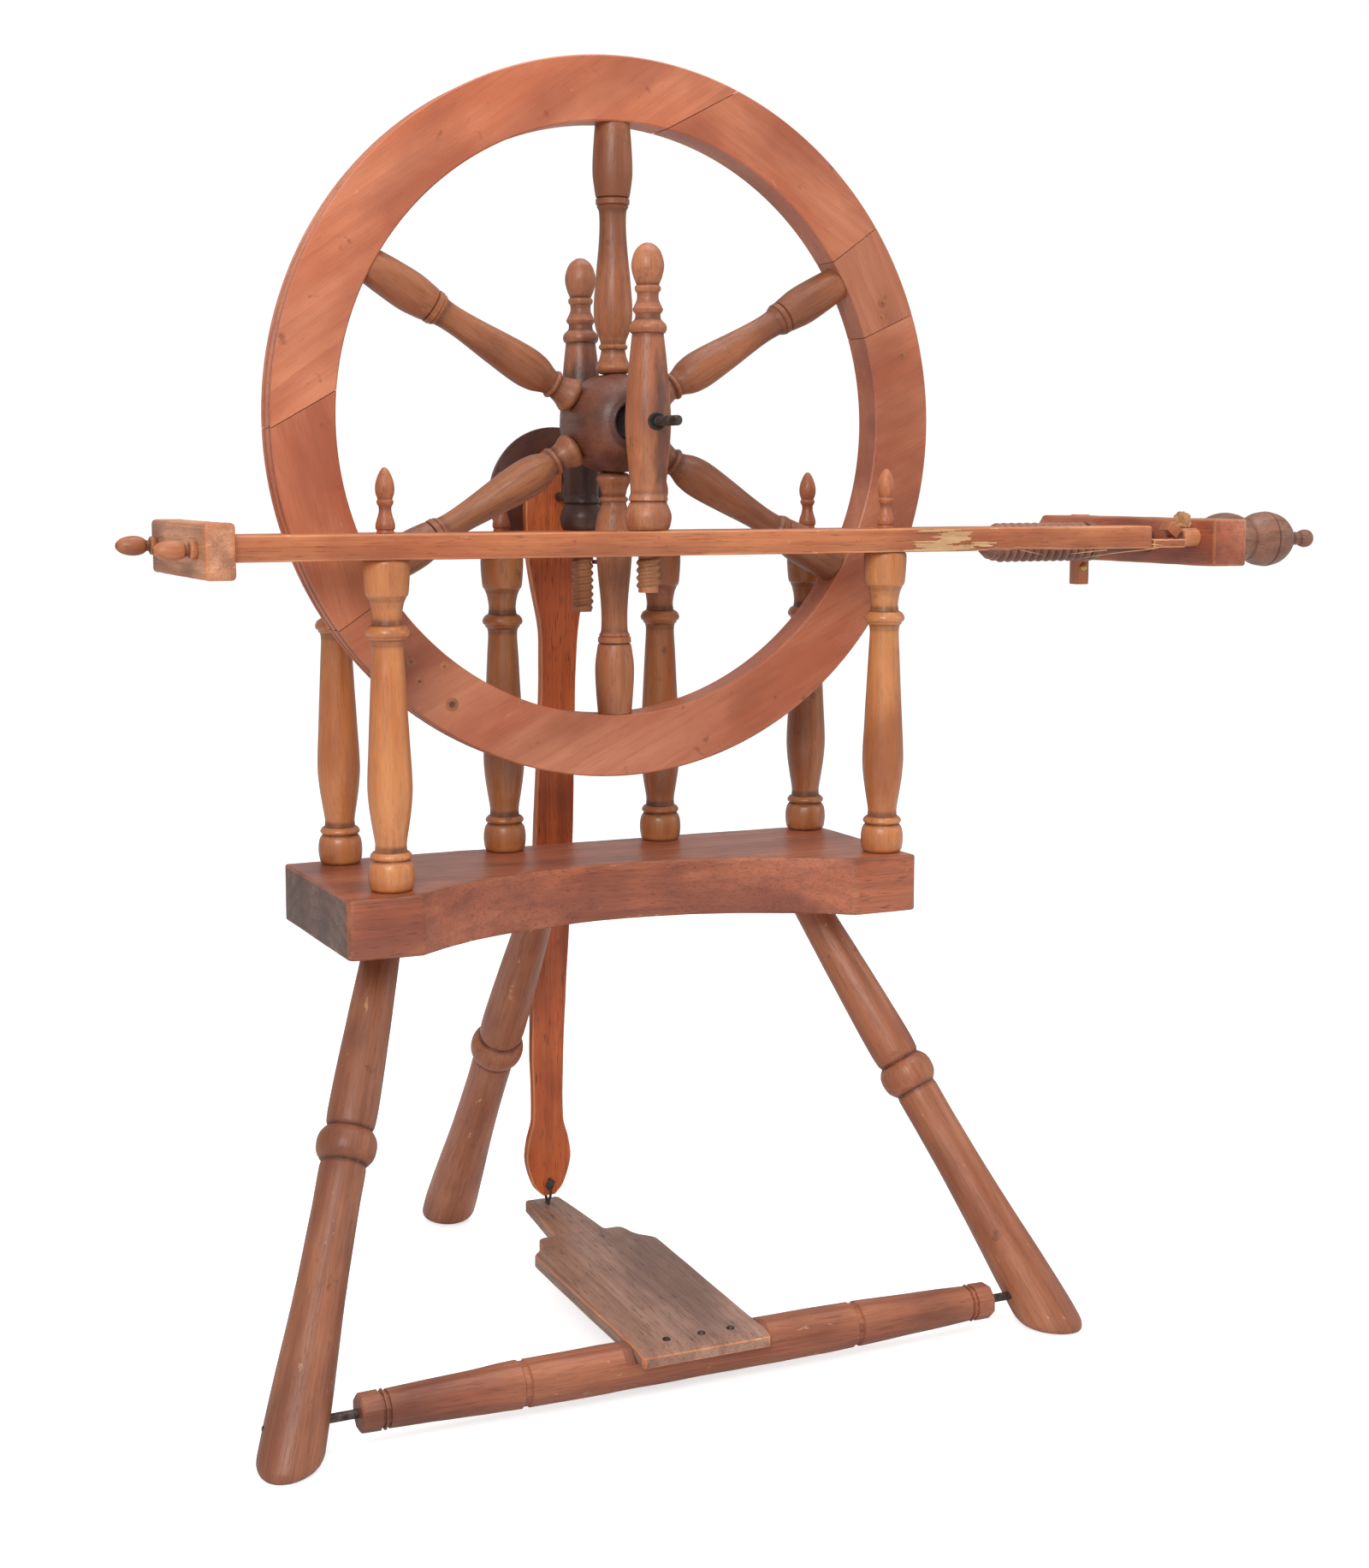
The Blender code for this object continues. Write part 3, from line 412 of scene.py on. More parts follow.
def draw_template(points):
    """Join a template's points by curves, except at the sharp cuts."""
    places = [Vector((point[1], 0.0, point[0])) for point in points]
    sharp = [len(point) > 2 and point[2] == 1 for point in points]
    sharp[0] = sharp[-1] = True
    last = len(places) - 1
    drawn = [places[0]]
    for i in range(last):
        start, end = places[i], places[i + 1]
        reach = (end - start).length / 3
        out = end - start if sharp[i] else end - places[i - 1]
        back = end - start if sharp[i + 1] else places[i + 2] - start
        if reach < 0.0004 or (sharp[i] and sharp[i + 1]):
            drawn.append(end)
            continue
        drawn += interpolate_bezier(start, start + out.normalized() * reach,
                                    end - back.normalized() * reach, end, CURVE_STEPS + 1)[1:]
    return [Vector((max(0.0, place.x), 0.0, place.z)) for place in drawn]


def depth_in_groove(drawn, reach=0.0045):
    """How much the outline stands out within a few millimetres of each point, less its own."""
    depths = []
    for place in drawn:
        near = [other.x for other in drawn if abs(other.z - place.z) < reach]
        depths.append((sum(near) / len(near) - place.x) / 0.0012)
    return [max(-1.0, min(1.0, depth)) for depth in depths]


pieces_made = 0


def mark_wood(shape, grain=Matrix.Identity(4), tone=None):
    """Write where each point lies in the log, and the piece's own shade."""
    global pieces_made
    pieces_made += 1
    log = shape.verts.layers.float_vector.new("grain")
    shade = shape.verts.layers.float.new("shade")
    offset = Vector((0.031 * (pieces_made % 7) + 0.02, 0.043 * (pieces_made % 5) + 0.01,
                     0.37 * pieces_made))
    own_shade = noise.noise(Vector((pieces_made * 1.7, 0.3, 0.0))) * 1.2 if tone is None else tone
    for vert in shape.verts:
        vert[log] = grain @ vert.co + offset
        vert[shade] = own_shade


def hand_over(shape, name, body, finish, nodes=(), crease=32.0):
    """Turn a finished shape into a piece that rides on a body and stands for CAD nodes."""
    for face in shape.faces:
        face.smooth = True
    for edge in shape.edges:
        flat = len(edge.link_faces) == 2 and edge.calc_face_angle(0.0) < math.radians(crease)
        edge.smooth = flat
    mesh = bpy.data.meshes.new(name)
    shape.to_mesh(mesh)
    shape.free()
    for item in finish if isinstance(finish, (list, tuple)) else [finish]:
        mesh.materials.append(item)
    piece = bpy.data.objects.new(name, mesh)
    bpy.context.scene.collection.objects.link(piece)
    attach(piece, body)
    if nodes:
        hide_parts(*nodes)
    print(f"{name}: {len(mesh.polygons)} faces on {body}")
    return piece


def mirrored(points):
    """The other half of a symmetrical outline, in drawing order."""
    return [(-point[0], *point[1:]) for point in reversed(points)]


def turned_shape(points, steps=LATHE_STEPS):
    """Spin a template round the Z axis, with a hand's slight tremor in the radius."""
    shape = bmesh.new()
    hollow = shape.verts.layers.float.new("hollow")
    drawn = draw_template(points)
    chain = []
    for place, depth in zip(drawn, depth_in_groove(drawn)):
        vert = shape.verts.new(place)
        vert[hollow] = depth
        chain.append(vert)
    edges = [shape.edges.new(pair) for pair in zip(chain, chain[1:])]
    bmesh.ops.spin(shape, geom=chain + edges, cent=(0, 0, 0), axis=(0, 0, 1), dvec=(0, 0, 0),
                   angle=math.tau, steps=steps, use_merge=True)
    bmesh.ops.remove_doubles(shape, verts=shape.verts, dist=MERGE)
    bmesh.ops.recalc_face_normals(shape, faces=shape.faces)
    for vert in shape.verts:
        reach = Vector((vert.co.x, vert.co.y, 0.0))
        if reach.length > 0.001:
            vert.co += reach.normalized() * noise.noise(vert.co * 55) * TREMOR
    return shape


def turn_piece(name, points, place, direction, body, finish, nodes=(), steps=LATHE_STEPS,
               crease=34.0, tone=None):
    shape = turned_shape(points, steps)
    mark_wood(shape, tone=tone)
    bmesh.ops.transform(shape, matrix=Matrix.Translation(place) @ turn_to(direction),
                        verts=shape.verts)
    return hand_over(shape, name, body, finish, nodes, crease)


# %% [markdown]
# ## The rim
# The rim is five felloes sawn from board, pegged end to end. Its section, a square with two
# shallow grooves for the drive band, is swept round the axle from joint to joint. Some joints
# were cut aslant, so each felloe is swept a little too far and then sawn off by `bisect_plane`.

# %% Felloes
RIM_R, RIM_IN, RIM_HALF = 0.250, 0.206, 0.013
# each joint: angle where it meets the inner edge and the outer edge
JOINTS = ((18.1, 19.2), (34.8, 35.0), (80.0, 68.4), (174.5, 181.3), (214.3, 214.2))
JOINT_GAP = 0.00025
NEAR_JOINT = 0.055
groove = ((0.0100, RIM_R), (0.0086, RIM_R - 0.0022), (0.0062, RIM_R - 0.0028),
          (0.0038, RIM_R - 0.0022), (0.0024, RIM_R))
section = [(RIM_HALF - 0.0008, RIM_IN), (RIM_HALF, RIM_IN + 0.0010),
           (RIM_HALF, RIM_R - 0.0010), (RIM_HALF - 0.0010, RIM_R), *groove,
           *[(-y, r) for y, r in reversed(groove)], (-RIM_HALF + 0.0010, RIM_R),
           (-RIM_HALF, RIM_R - 0.0010), (-RIM_HALF, RIM_IN + 0.0010),
           (-RIM_HALF + 0.0008, RIM_IN)]


def on_rim(angle, radius, y=0.0):
    turn = math.radians(angle)
    return Vector((radius * math.cos(turn), y, radius * math.sin(turn)))


def saw_off(shape, cut, keep):
    """Cut along a joint, throw away the side that is not kept, and close the end."""
    inner, outer = on_rim(cut[0], RIM_IN), on_rim(cut[1], RIM_R)
    normal = (outer - inner).cross(Vector((0, 1, 0))).normalized() * keep
    joint = (inner + outer) / 2
    faces = [face for face in shape.faces
             if (face.calc_center_median() - joint).length < NEAR_JOINT]
    edges = {edge for face in faces for edge in face.edges}
    verts = {vert for face in faces for vert in face.verts}
    bmesh.ops.bisect_plane(shape, geom=[*verts, *edges, *faces], dist=MERGE, clear_inner=True,
                           plane_co=inner + normal * JOINT_GAP, plane_no=normal)
    open_edges = [edge for edge in shape.edges if edge.is_boundary]
    bmesh.ops.holes_fill(shape, edges=open_edges)


for number in range(5):
    start, end = JOINTS[number], JOINTS[(number + 1) % 5]
    first = min(start) - 4.0
    last = max(end) + 4.0 + (360.0 if number == 4 else 0.0)
    shape = bmesh.new()
    hollow = shape.verts.layers.float.new("hollow")
    ring = [shape.verts.new(on_rim(first, radius, -y)) for y, radius in section]
    for vert, (y, radius) in zip(ring, section):
        vert[hollow] = 0.9 if 0.2301 < radius < RIM_R - 0.0015 and abs(y) < 0.0095 else 0.0
    loop = [shape.edges.new((ring[i], ring[(i + 1) % len(ring)])) for i in range(len(ring))]
    bmesh.ops.spin(shape, geom=ring + loop, cent=(0, 0, 0), axis=(0, -1, 0), dvec=(0, 0, 0),
                   angle=math.radians(last - first), steps=round((last - first) / 2.0))
    saw_off(shape, start, 1.0)
    saw_off(shape, end, -1.0)
    bmesh.ops.recalc_face_normals(shape, faces=shape.faces)
    centre = on_rim((first + last) / 2, 0.228)
    lay = turn_to((-centre.z, 0.0, centre.x)).inverted()
    mark_wood(shape, lay)
    bmesh.ops.translate(shape, vec=AXLE, verts=shape.verts)
    hand_over(shape, f"felloe_{number + 1}", "drive_wheel", rim_stain,
              [f"rim_felloe_{number + 1}"], crease=28)

# %% [markdown]
# The joints are held by small round pegs, driven through the face and cut flush. Each is a
# disc whose domed end stands a hair proud of the wood.

# %% Rim pegs
PEGS = ((-134.0, 0.2258, 0.0034), (-130.6, 0.2320, 0.0032), (-128.6, 0.2130, 0.0034),
        (-123.5, 0.2315, 0.0048), (23.1, 0.2283, 0.0034), (20.7, 0.2239, 0.0026),
        (12.9, 0.2333, 0.0032), (-111.8, 0.2090, 0.0020))
for number, (angle, radius, size) in enumerate(PEGS, 1):
    peg = ((0.0004, 0.0), (0.0003, size * 0.7), (0.0001, size, 1), (-0.004, size, 1), (-0.004, 0.0))
    turn_piece(f"felloe_peg_{number}", peg, AXLE + on_rim(angle, radius, -RIM_HALF), (0, -1, 0),
               "drive_wheel", walnut_stain, steps=24)

# %% [markdown]
# ## Spokes and hub
# All six spokes come from one template: a plain collar at the rim, two scored rings, a slender
# vase, and a small bead that meets the hub. The hub is a ball with a recess at each end, where
# the axle leaves it; a near-black ring at the bottom of each recess is painted shadow.

# %% Spokes
SPOKE = ((0.2056, 0.0), (0.2056, 0.0122, 1), (0.1900, 0.0134), (0.1720, 0.0140), (0.1600, 0.0126),
         (0.1562, 0.0119, 1), (0.1554, 0.0108, 1), (0.1546, 0.0119, 1), (0.1512, 0.0118, 1),
         (0.1504, 0.0106, 1), (0.1496, 0.0112, 1), (0.1462, 0.0096), (0.1290, 0.0096),
         (0.1000, 0.0122), (0.0780, 0.0137), (0.0660, 0.0124), (0.0580, 0.0094),
         (0.0552, 0.0088, 1), (0.0540, 0.0100), (0.0524, 0.0100), (0.0508, 0.0084, 1),
         (0.0450, 0.0098), (0.0392, 0.0124), (0.0366, 0.0118), (0.0345, 0.0090), (0.0335, 0.0))
for number in range(1, 7):
    outward = middle(f"spoke_{number}") - AXLE
    turn_piece(f"wheel_spoke_{number}", SPOKE, AXLE, outward, "drive_wheel", walnut_stain,
               [f"spoke_{number}"])

# %% [markdown]
# The hub could be a plain ball, but the turner left a flat at each end and sank a recess for the
# axle, so it has its own template, drawn for one half and mirrored.

# %% Hub
HUB_END, BORE_R, AXLE_R = 0.0385, 0.0140, 0.0035
half_hub = ((HUB_END - 0.009, 0.0045), (HUB_END - 0.009, BORE_R - 0.002, 1),
            (HUB_END - 0.001, BORE_R, 1), (HUB_END, 0.0155, 1), (0.0352, 0.0222),
            (0.0300, 0.0274), (0.0235, 0.0315), (0.0150, 0.0340), (0.0050, 0.0345))
hub = [*half_hub, *mirrored(half_hub)]
turn_piece("hub_ball", hub, AXLE, (0, -1, 0), "drive_wheel", hub_stain,
           ["hub"], steps=72)
# Near-black rings at the bottom of the hub's recesses: painted shadow.
for side, name in ((1, "front"), (-1, "rear")):
    ring = ((0.0012, 0.0040), (0.0012, BORE_R - 0.0024), (0.0, BORE_R - 0.0022))
    turn_piece(f"hub_{name}_recess", ring, at(0, -side * (HUB_END - 0.0088), 0), (0, -side, 0),
               "drive_wheel", bore_shadow)

# %% [markdown]
# ## The axle and its crank
# A smith bends the axle from one round bar. The bar's circle is drawn once, pushed along by
# `extrude`, and taken round each bend by `spin` about the bend's own centre.

# %% Axle and crank
CRANK_Y, CRANK_THROW, PIN_END, BEND_R = 0.0905, 0.052, 0.1045, 0.0055


def push(shape, loop, shift):
    made = bmesh.ops.extrude_edge_only(shape, edges=loop)["geom"]
    verts = [item for item in made if isinstance(item, bmesh.types.BMVert)]
    bmesh.ops.translate(shape, vec=shift, verts=verts)
    return [item for item in made if isinstance(item, bmesh.types.BMEdge) and item.is_boundary]


def bend_bar(shape, loop, centre, axis, angle):
    verts = list({vert for edge in loop for vert in edge.verts})
    made = bmesh.ops.spin(shape, geom=verts + loop, cent=centre, axis=axis, dvec=(0, 0, 0),
                          angle=math.radians(angle), steps=8)["geom_last"]
    return [item for item in made if isinstance(item, bmesh.types.BMEdge)]


shape = bmesh.new()
bmesh.ops.create_circle(shape, cap_ends=False, segments=24, radius=AXLE_R,
                        matrix=Matrix.Rotation(math.radians(90), 4, "X"))
bmesh.ops.translate(shape, vec=(0, -0.1092, 0), verts=shape.verts)
tip = shape.edges[:]
bmesh.ops.scale(shape, vec=(0.78, 1, 0.78), verts=shape.verts)
tip = push(shape, tip, (0, 0.0010, 0))
bmesh.ops.scale(shape, vec=(1 / 0.78, 1, 1 / 0.78),
                verts=list({vert for edge in tip for vert in edge.verts}))
bar = push(shape, tip, (0, CRANK_Y - BEND_R + 0.1082, 0))
bar = bend_bar(shape, bar, (0, CRANK_Y - BEND_R, -BEND_R), (1, 0, 0), -90)
bar = push(shape, bar, (0, 0, -CRANK_THROW + 2 * BEND_R))
bar = bend_bar(shape, bar, (0, CRANK_Y + BEND_R, -CRANK_THROW + BEND_R), (1, 0, 0), 90)
bar = push(shape, bar, (0, PIN_END - CRANK_Y - BEND_R, 0))
bmesh.ops.remove_doubles(shape, verts=shape.verts, dist=MERGE)
bmesh.ops.holes_fill(shape, edges=[edge for edge in shape.edges if edge.is_boundary])
bmesh.ops.recalc_face_normals(shape, faces=shape.faces)
for vert in shape.verts:
    vert.co += noise.noise_vector(vert.co * 60) * 0.00015
bmesh.ops.translate(shape, vec=AXLE, verts=shape.verts)
hand_over(shape, "forged_axle", "drive_wheel", iron, ["axle_and_crank"], crease=50)

# %% [markdown]
# ## Threads cut in wood
# The posts are pulled down by wooden nuts, and the tension screw needs a thread too. A thread is
# a spin that climbs: one tooth's outline goes round many times while `dvec` lifts it a little
# at each step, so that every turn lands on top of the one before.

# %% Thread helper
def thread_shape(root, crest, pitch, turns, steps=36):
    """A screw thread round the Z axis, from 0 upwards, closed by a core."""
    shape = bmesh.new()
    tooth = ((0.0, root), (pitch * 0.36, crest - 0.0002), (pitch * 0.5, crest),
             (pitch * 0.64, crest - 0.0002), (pitch, root))
    chain = [shape.verts.new((radius, 0, height)) for height, radius in tooth]
    edges = [shape.edges.new(pair) for pair in zip(chain, chain[1:])]
    bmesh.ops.spin(shape, geom=chain + edges, cent=(0, 0, 0), axis=(0, 0, 1),
                   dvec=(0, 0, pitch / steps), angle=math.tau * turns, steps=steps * turns)
    bmesh.ops.remove_doubles(shape, verts=shape.verts, dist=0.00002)
    bmesh.ops.holes_fill(shape, edges=[edge for edge in shape.edges if edge.is_boundary])
    bmesh.ops.recalc_face_normals(shape, faces=shape.faces)
    return shape


# %% [markdown]
# ## The posts
# Two turned posts carry the axle between a ball finial and a ball foot. Grease from the bearing
# has blackened the wood, most of all on the rear post. The threaded tenons come through below
# the rails.

# %% Post finishes and template
front_post_stain = timber("front_post_stain", paint(190, 125, 87), paint(167, 99, 65),
                          paint(112, 61, 42), rings=0.3, pores=0.4, wear=0.45, rough=0.42,
                          soot=(at(0.0045, -RAIL_Y, 0.0), 0.0078, 0.0062, -0.046, 0.036))
rear_post_stain = timber("rear_post_stain", paint(196, 126, 90), paint(166, 98, 68),
                         paint(96, 54, 40), rings=0.2, pores=0.4, wear=0.35, rough=0.40,
                         soot=(at(0.0, RAIL_Y, 0.0), 0.030, 0.004, -0.085, 0.036))
POST = ((0.1197, 0.0), (0.1190, 0.0035), (0.1155, 0.0078), (0.1100, 0.0103), (0.1039, 0.0112),
        (0.0970, 0.0098), (0.0916, 0.0076, 1), (0.0900, 0.0089), (0.0878, 0.0087, 1),
        (0.0862, 0.0074, 1), (0.0820, 0.0075), (0.0776, 0.0094), (0.0755, 0.0105, 1),
        (0.0738, 0.0100, 1), (0.0722, 0.0086, 1), (0.0690, 0.0090), (0.0655, 0.0122),
        (0.0627, 0.0130), (0.0600, 0.0122, 1), (0.0590, 0.0108, 1), (0.0560, 0.0112),
        (0.0383, 0.0131), (0.0160, 0.0150), (0.0, 0.0158), (-0.0160, 0.0150), (-0.0332, 0.0134),
        (-0.0477, 0.0122), (-0.0510, 0.0132), (-0.0532, 0.0137, 1), (-0.0540, 0.0122, 1),
        (-0.0560, 0.0134), (-0.0634, 0.0160), (-0.0700, 0.0153), (-0.0734, 0.0140, 1))
POST_PITCH = 0.0052

for name, y, drop, tenon, finish, slot in (
        ("front", -RAIL_Y, 0.0, 0.043, front_post_stain, "red_brown_wood"),
        ("rear", RAIL_Y, REAR_DROP, 0.060, rear_post_stain, "dark_brown_wood")):
    low = POST[-1][0] - drop
    outline = [(point[0] - drop * (point[0] < 0), *point[1:]) for point in POST]
    outline += [(low, 0.0070, 1), (low - tenon, 0.0070, 1), (low - tenon, 0.0)]
    turn_piece(f"{name}_post_turning", outline, at(0, y, 0), (0, 0, 1), "frame", finish,
               [f"{name}_post"])
    turns = int((tenon - 0.0185) / POST_PITCH)
    shape = thread_shape(0.0066, 0.0084, POST_PITCH, turns, steps=28)
    mark_wood(shape)
    bmesh.ops.translate(shape, vec=at(0, y, low - tenon), verts=shape.verts)
    hand_over(shape, f"{name}_post_thread", "frame", tenon_timber, crease=60)

# %% [markdown]
# A greased leather bush lines each post's bore. It is a closed ring turned on the lathe, with a
# thin dark ring in front that stands for the shadow round the axle.

# %% Bearings
for name, y in (("front", -RAIL_Y), ("rear", RAIL_Y)):
    bush = ((0.0160, 0.0037), (0.0160, 0.0060, 1), (0.0150, 0.0066, 1), (-0.0150, 0.0066, 1),
            (-0.0160, 0.0060, 1), (-0.0160, 0.0037), (-0.0120, 0.0037, 1), (0.0120, 0.0037, 1),
            (0.0160, 0.0037))
    turn_piece(f"{name}_bearing_bush", bush, at(0, y, 0), (0, -1, 0), "frame", dark_leather,
               [f"{name}_bearing"], steps=32)
    hole = ((0.0004, 0.0038), (0.0004, 0.0056), (-0.0010, 0.0056))
    turn_piece(f"{name}_bearing_shadow", hole, at(0.0, y - 0.0160, 0.0), (0, -1, 0), "frame",
               bore_shadow, steps=32)

# %% [markdown]
# ## Sawn boards
# Rails, blocks, bench, footman and treadle are boards. A board is an outline filled with one
# face, pulled to its thickness by `extrude_face_region`, with the arrises taken off by `bevel`.
# The bevelled strips get a second finish, because stain wears off the edges first.

# %% Board helpers
def smooth_outline(points):
    """Close an outline with curves, apart from its sharp corners (a third value of 1)."""
    flat = draw_template([(point[1], point[0] + 10.0, *point[2:]) for point in points])
    return [(place.x - 10.0, place.z) for place in flat]


def board_shape(outline, thick, arris):
    """A board in the XY plane, centred on its thickness."""
    shape = bmesh.new()
    places = smooth_outline([*outline, outline[0]])[:-1]
    verts = [shape.verts.new((place[0], place[1], -thick / 2)) for place in places]
    face = shape.faces.new(verts)
    made = bmesh.ops.extrude_face_region(shape, geom=[face])["geom"]
    bmesh.ops.translate(shape, vec=(0, 0, thick),
                        verts=[item for item in made if isinstance(item, bmesh.types.BMVert)])
    bmesh.ops.recalc_face_normals(shape, faces=shape.faces)
    round_arrises(shape, arris)
    return shape


def round_arrises(shape, arris, segments=2, limit=40.0):
    """Bevel the sharp edges and give the strips the second finish."""
    sharp = [edge for edge in shape.edges if edge.calc_face_angle(0.0) > math.radians(limit)]
    made = bmesh.ops.bevel(shape, geom=sharp, offset=arris, offset_type="OFFSET",
                           segments=segments, profile=0.5, affect="EDGES", material=-1,
                           clamp_overlap=True)
    for face in made["faces"]:
        face.material_index = 1


def slice_up(shape, axis, low, high, step):
    """Cut a shape across at even steps, so that its faces can be worn or bent."""
    normal = Vector([1.0 if i == axis else 0.0 for i in range(3)])
    for number in range(1, int((high - low) / step)):
        bmesh.ops.bisect_plane(shape, geom=shape.verts[:] + shape.edges[:] + shape.faces[:],
                               plane_co=normal * (low + number * step), plane_no=normal,
                               dist=MERGE)


def block_shape(low, high, arris=0.0015, segments=2):
    shape = bmesh.new()
    size = high - low
    bmesh.ops.create_cube(shape, size=1.0, matrix=Matrix.Translation((low + high) / 2)
                          @ Matrix.Diagonal((*size, 1.0)))
    round_arrises(shape, arris, segments)
    return shape


def weather(shape, amount, scale):
    """Move the points a little, as a plane and a century of use do."""
    for vert in shape.verts:
        vert.co += noise.noise_vector(vert.co * scale) * amount


def mark_ends(shape, axis):
    """Give the sawn ends the end-grain finish."""
    for face in shape.faces:
        if abs(face.normal[axis]) > 0.95 and face.material_index == 0:
            face.material_index = 2


ALONG_X = Matrix.Rotation(math.radians(-90), 4, "Y")
ALONG_Y = Matrix.Rotation(math.radians(90), 4, "X")

# %% [markdown]
# ## The rails
# The front rail has split away from its end block: the wood is pale where it tore, the end is
# ragged, and long splinters hang below it. The rail is sliced across finely near the break, so
# that each slice can be pulled out of line.

# %% Front rail
low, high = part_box("front_rail")
shape = block_shape(low, high, 0.0013)
slice_up(shape, 0, low.x, high.x, 0.006)
slice_up(shape, 1, low.y, high.y, 0.0055)
for vert in shape.verts:
    place = vert.co
    near_end = max(0.0, min(1.0, (place.x - high.x + 0.02) / 0.02))
    ragged = noise.noise(Vector((place.y * 420, place.z * 300, 1.3)))
    place.x -= near_end * (0.004 + 0.0045 * ragged)
    torn = max(0.0, min(1.0, (place.x - AXLE.x - 0.245) / 0.03))
    torn *= max(0.0, min(1.0, (AXLE.x + 0.335 - place.x) / 0.03))
    if place.z < low.z + 0.004:
        place.z += torn * (0.0010 + 0.0018 * noise.noise(Vector((place.x * 170, 0, 0))))
    place += noise.noise_vector(place * 30) * 0.0002
mark_wood(shape, ALONG_X)
hand_over(shape, "front_rail_board", "frame", (rail_stain, worn_arris),
          ["front_rail"], crease=30)

# %% [markdown]
# The torn zone is a very thin skin of raw wood laid over the rail's face. Noise that is drawn out
# along the fibres eats its edge away, as a tear does. Splinters are slim cones, pulled long.

# %% Torn wood and splinters
TEAR_X, TEAR_HALF = AXLE.x + 0.233, 0.022
shape = bmesh.new()
bmesh.ops.create_grid(shape, x_segments=110, y_segments=30, size=0.5)
bmesh.ops.transform(shape, verts=shape.verts, matrix=Matrix.Translation(
    Vector((AXLE.x + 0.248, low.y - 0.00015, (low.z + high.z) / 2)))
    @ Matrix.Rotation(math.radians(90), 4, "X") @ Matrix.Diagonal((0.110, 0.0158, 1.0, 1.0)))
rough_edge = []
for face in shape.faces:
    spot = face.calc_center_median()
    across = (spot.z - low.z) / 0.017
    reach = 1.3 * noise.noise(Vector((spot.x * 38, spot.z * 620, 4.0))) + 0.45
    reach -= abs(spot.x - TEAR_X) / TEAR_HALF * (0.40 + 0.45 * across)
    if reach < 0.0:
        rough_edge.append(face)
bmesh.ops.delete(shape, geom=rough_edge, context="FACES")
for vert in shape.verts:
    vert.co.y -= 0.0001 + 0.0002 * noise.noise(vert.co * 260)
mark_wood(shape, ALONG_X)
bmesh.ops.solidify(shape, geom=shape.faces[:], thickness=0.0002)
hand_over(shape, "torn_rail_wood", "frame", raw_timber, crease=40)


def splinter(name, start, end, wide):
    """A long thin sliver from one place to another."""
    shape = bmesh.new()
    length = (end - start).length
    bmesh.ops.create_cone(shape, cap_ends=True, segments=5, radius1=wide, radius2=wide * 0.12,
                          depth=length)
    slice_up(shape, 2, -length / 2, length / 2, length / 9)
    for vert in shape.verts:
        vert.co += noise.noise_vector(vert.co * 180 + start * 90) * wide * 0.55
    mark_wood(shape)
    bmesh.ops.transform(shape, verts=shape.verts, matrix=Matrix.Translation((start + end) / 2)
                        @ turn_to(end - start) @ Matrix.Diagonal((1.0, 0.45, 1.0, 1.0)))
    hand_over(shape, name, "frame", raw_timber, crease=50)


under = low.z
face_y = low.y
splinter("long_splinter", Vector((AXLE.x + 0.420, face_y + 0.006, under + 0.0005)),
         Vector((AXLE.x + 0.352, face_y + 0.005, under - 0.0062)), 0.0024)
splinter("mid_splinter", Vector((AXLE.x + 0.372, face_y + 0.003, under - 0.0005)),
         Vector((AXLE.x + 0.338, face_y + 0.003, under - 0.0035)), 0.0014)
splinter("near_splinter", Vector((AXLE.x + 0.295, face_y + 0.002, under + 0.0005)),
         Vector((AXLE.x + 0.316, face_y + 0.001, under - 0.0042)), 0.0012)
splinter("end_splinter", Vector((AXLE.x + 0.398, face_y + 0.004, under + 0.004)),
         Vector((AXLE.x + 0.424, face_y + 0.003, under + 0.002)), 0.0022)

# %% [markdown]
# The rear rail is whole, so it is only a block with eased arrises and a slight waviness.

# %% Rear rail
low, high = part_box("rear_rail")
shape = block_shape(low, high, 0.0013)
slice_up(shape, 0, low.x, high.x, 0.02)
weather(shape, 0.0002, 30)
mark_wood(shape, ALONG_X)
hand_over(shape, "rear_rail_board", "frame", (bench_stain, worn_arris),
          ["rear_rail"], crease=30)

# %% [markdown]
# Three pieces are left of the broken joint: a thin tongue of the rail, a loose wedge that lies
# aslant, and the pale round stub of the tenon, which stayed in the block.

# %% What is left of the front rail's joint
low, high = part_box("front_rail_tongue")
shape = block_shape(low, high, 0.0008)
slice_up(shape, 0, low.x, high.x, 0.0025)
weather(shape, 0.0005, 220)
mark_wood(shape, ALONG_X)
hand_over(shape, "rail_tongue_stub", "frame", (rail_stain, raw_timber),
          ["front_rail_tongue"])

centre = middle("front_rail_wedge")
shape = bmesh.new()
bmesh.ops.create_cube(shape, size=1.0, matrix=Matrix.Diagonal((0.0110, 0.0120, 0.0085, 1.0)))
round_arrises(shape, 0.0006)
mark_wood(shape)
bmesh.ops.transform(shape, verts=shape.verts, matrix=Matrix.Translation(centre)
                    @ Matrix.Rotation(math.radians(38), 4, "Y"))
hand_over(shape, "joint_wedge", "frame", (rail_stain, worn_arris),
          ["front_rail_wedge"])

low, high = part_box("front_rail_stub")
stub = ((0.0142, 0.0), (0.0140, 0.0050), (0.0128, 0.0066), (0.0100, 0.0070), (0.0, 0.0072, 1),
        (0.0, 0.0))
turn_piece("pale_dowel_stub", stub, Vector((high.x, middle("front_rail_stub").y,
                                             middle("front_rail_stub").z)), (-1, 0, 0), "frame",
           worn_arris, ["front_rail_stub"], steps=32)

# %% [markdown]
# ## End blocks
# The blocks tie the rails together. The left one is a plain worn block, and the ends of the
# rails' tenons stand out of it as two small turned knobs.

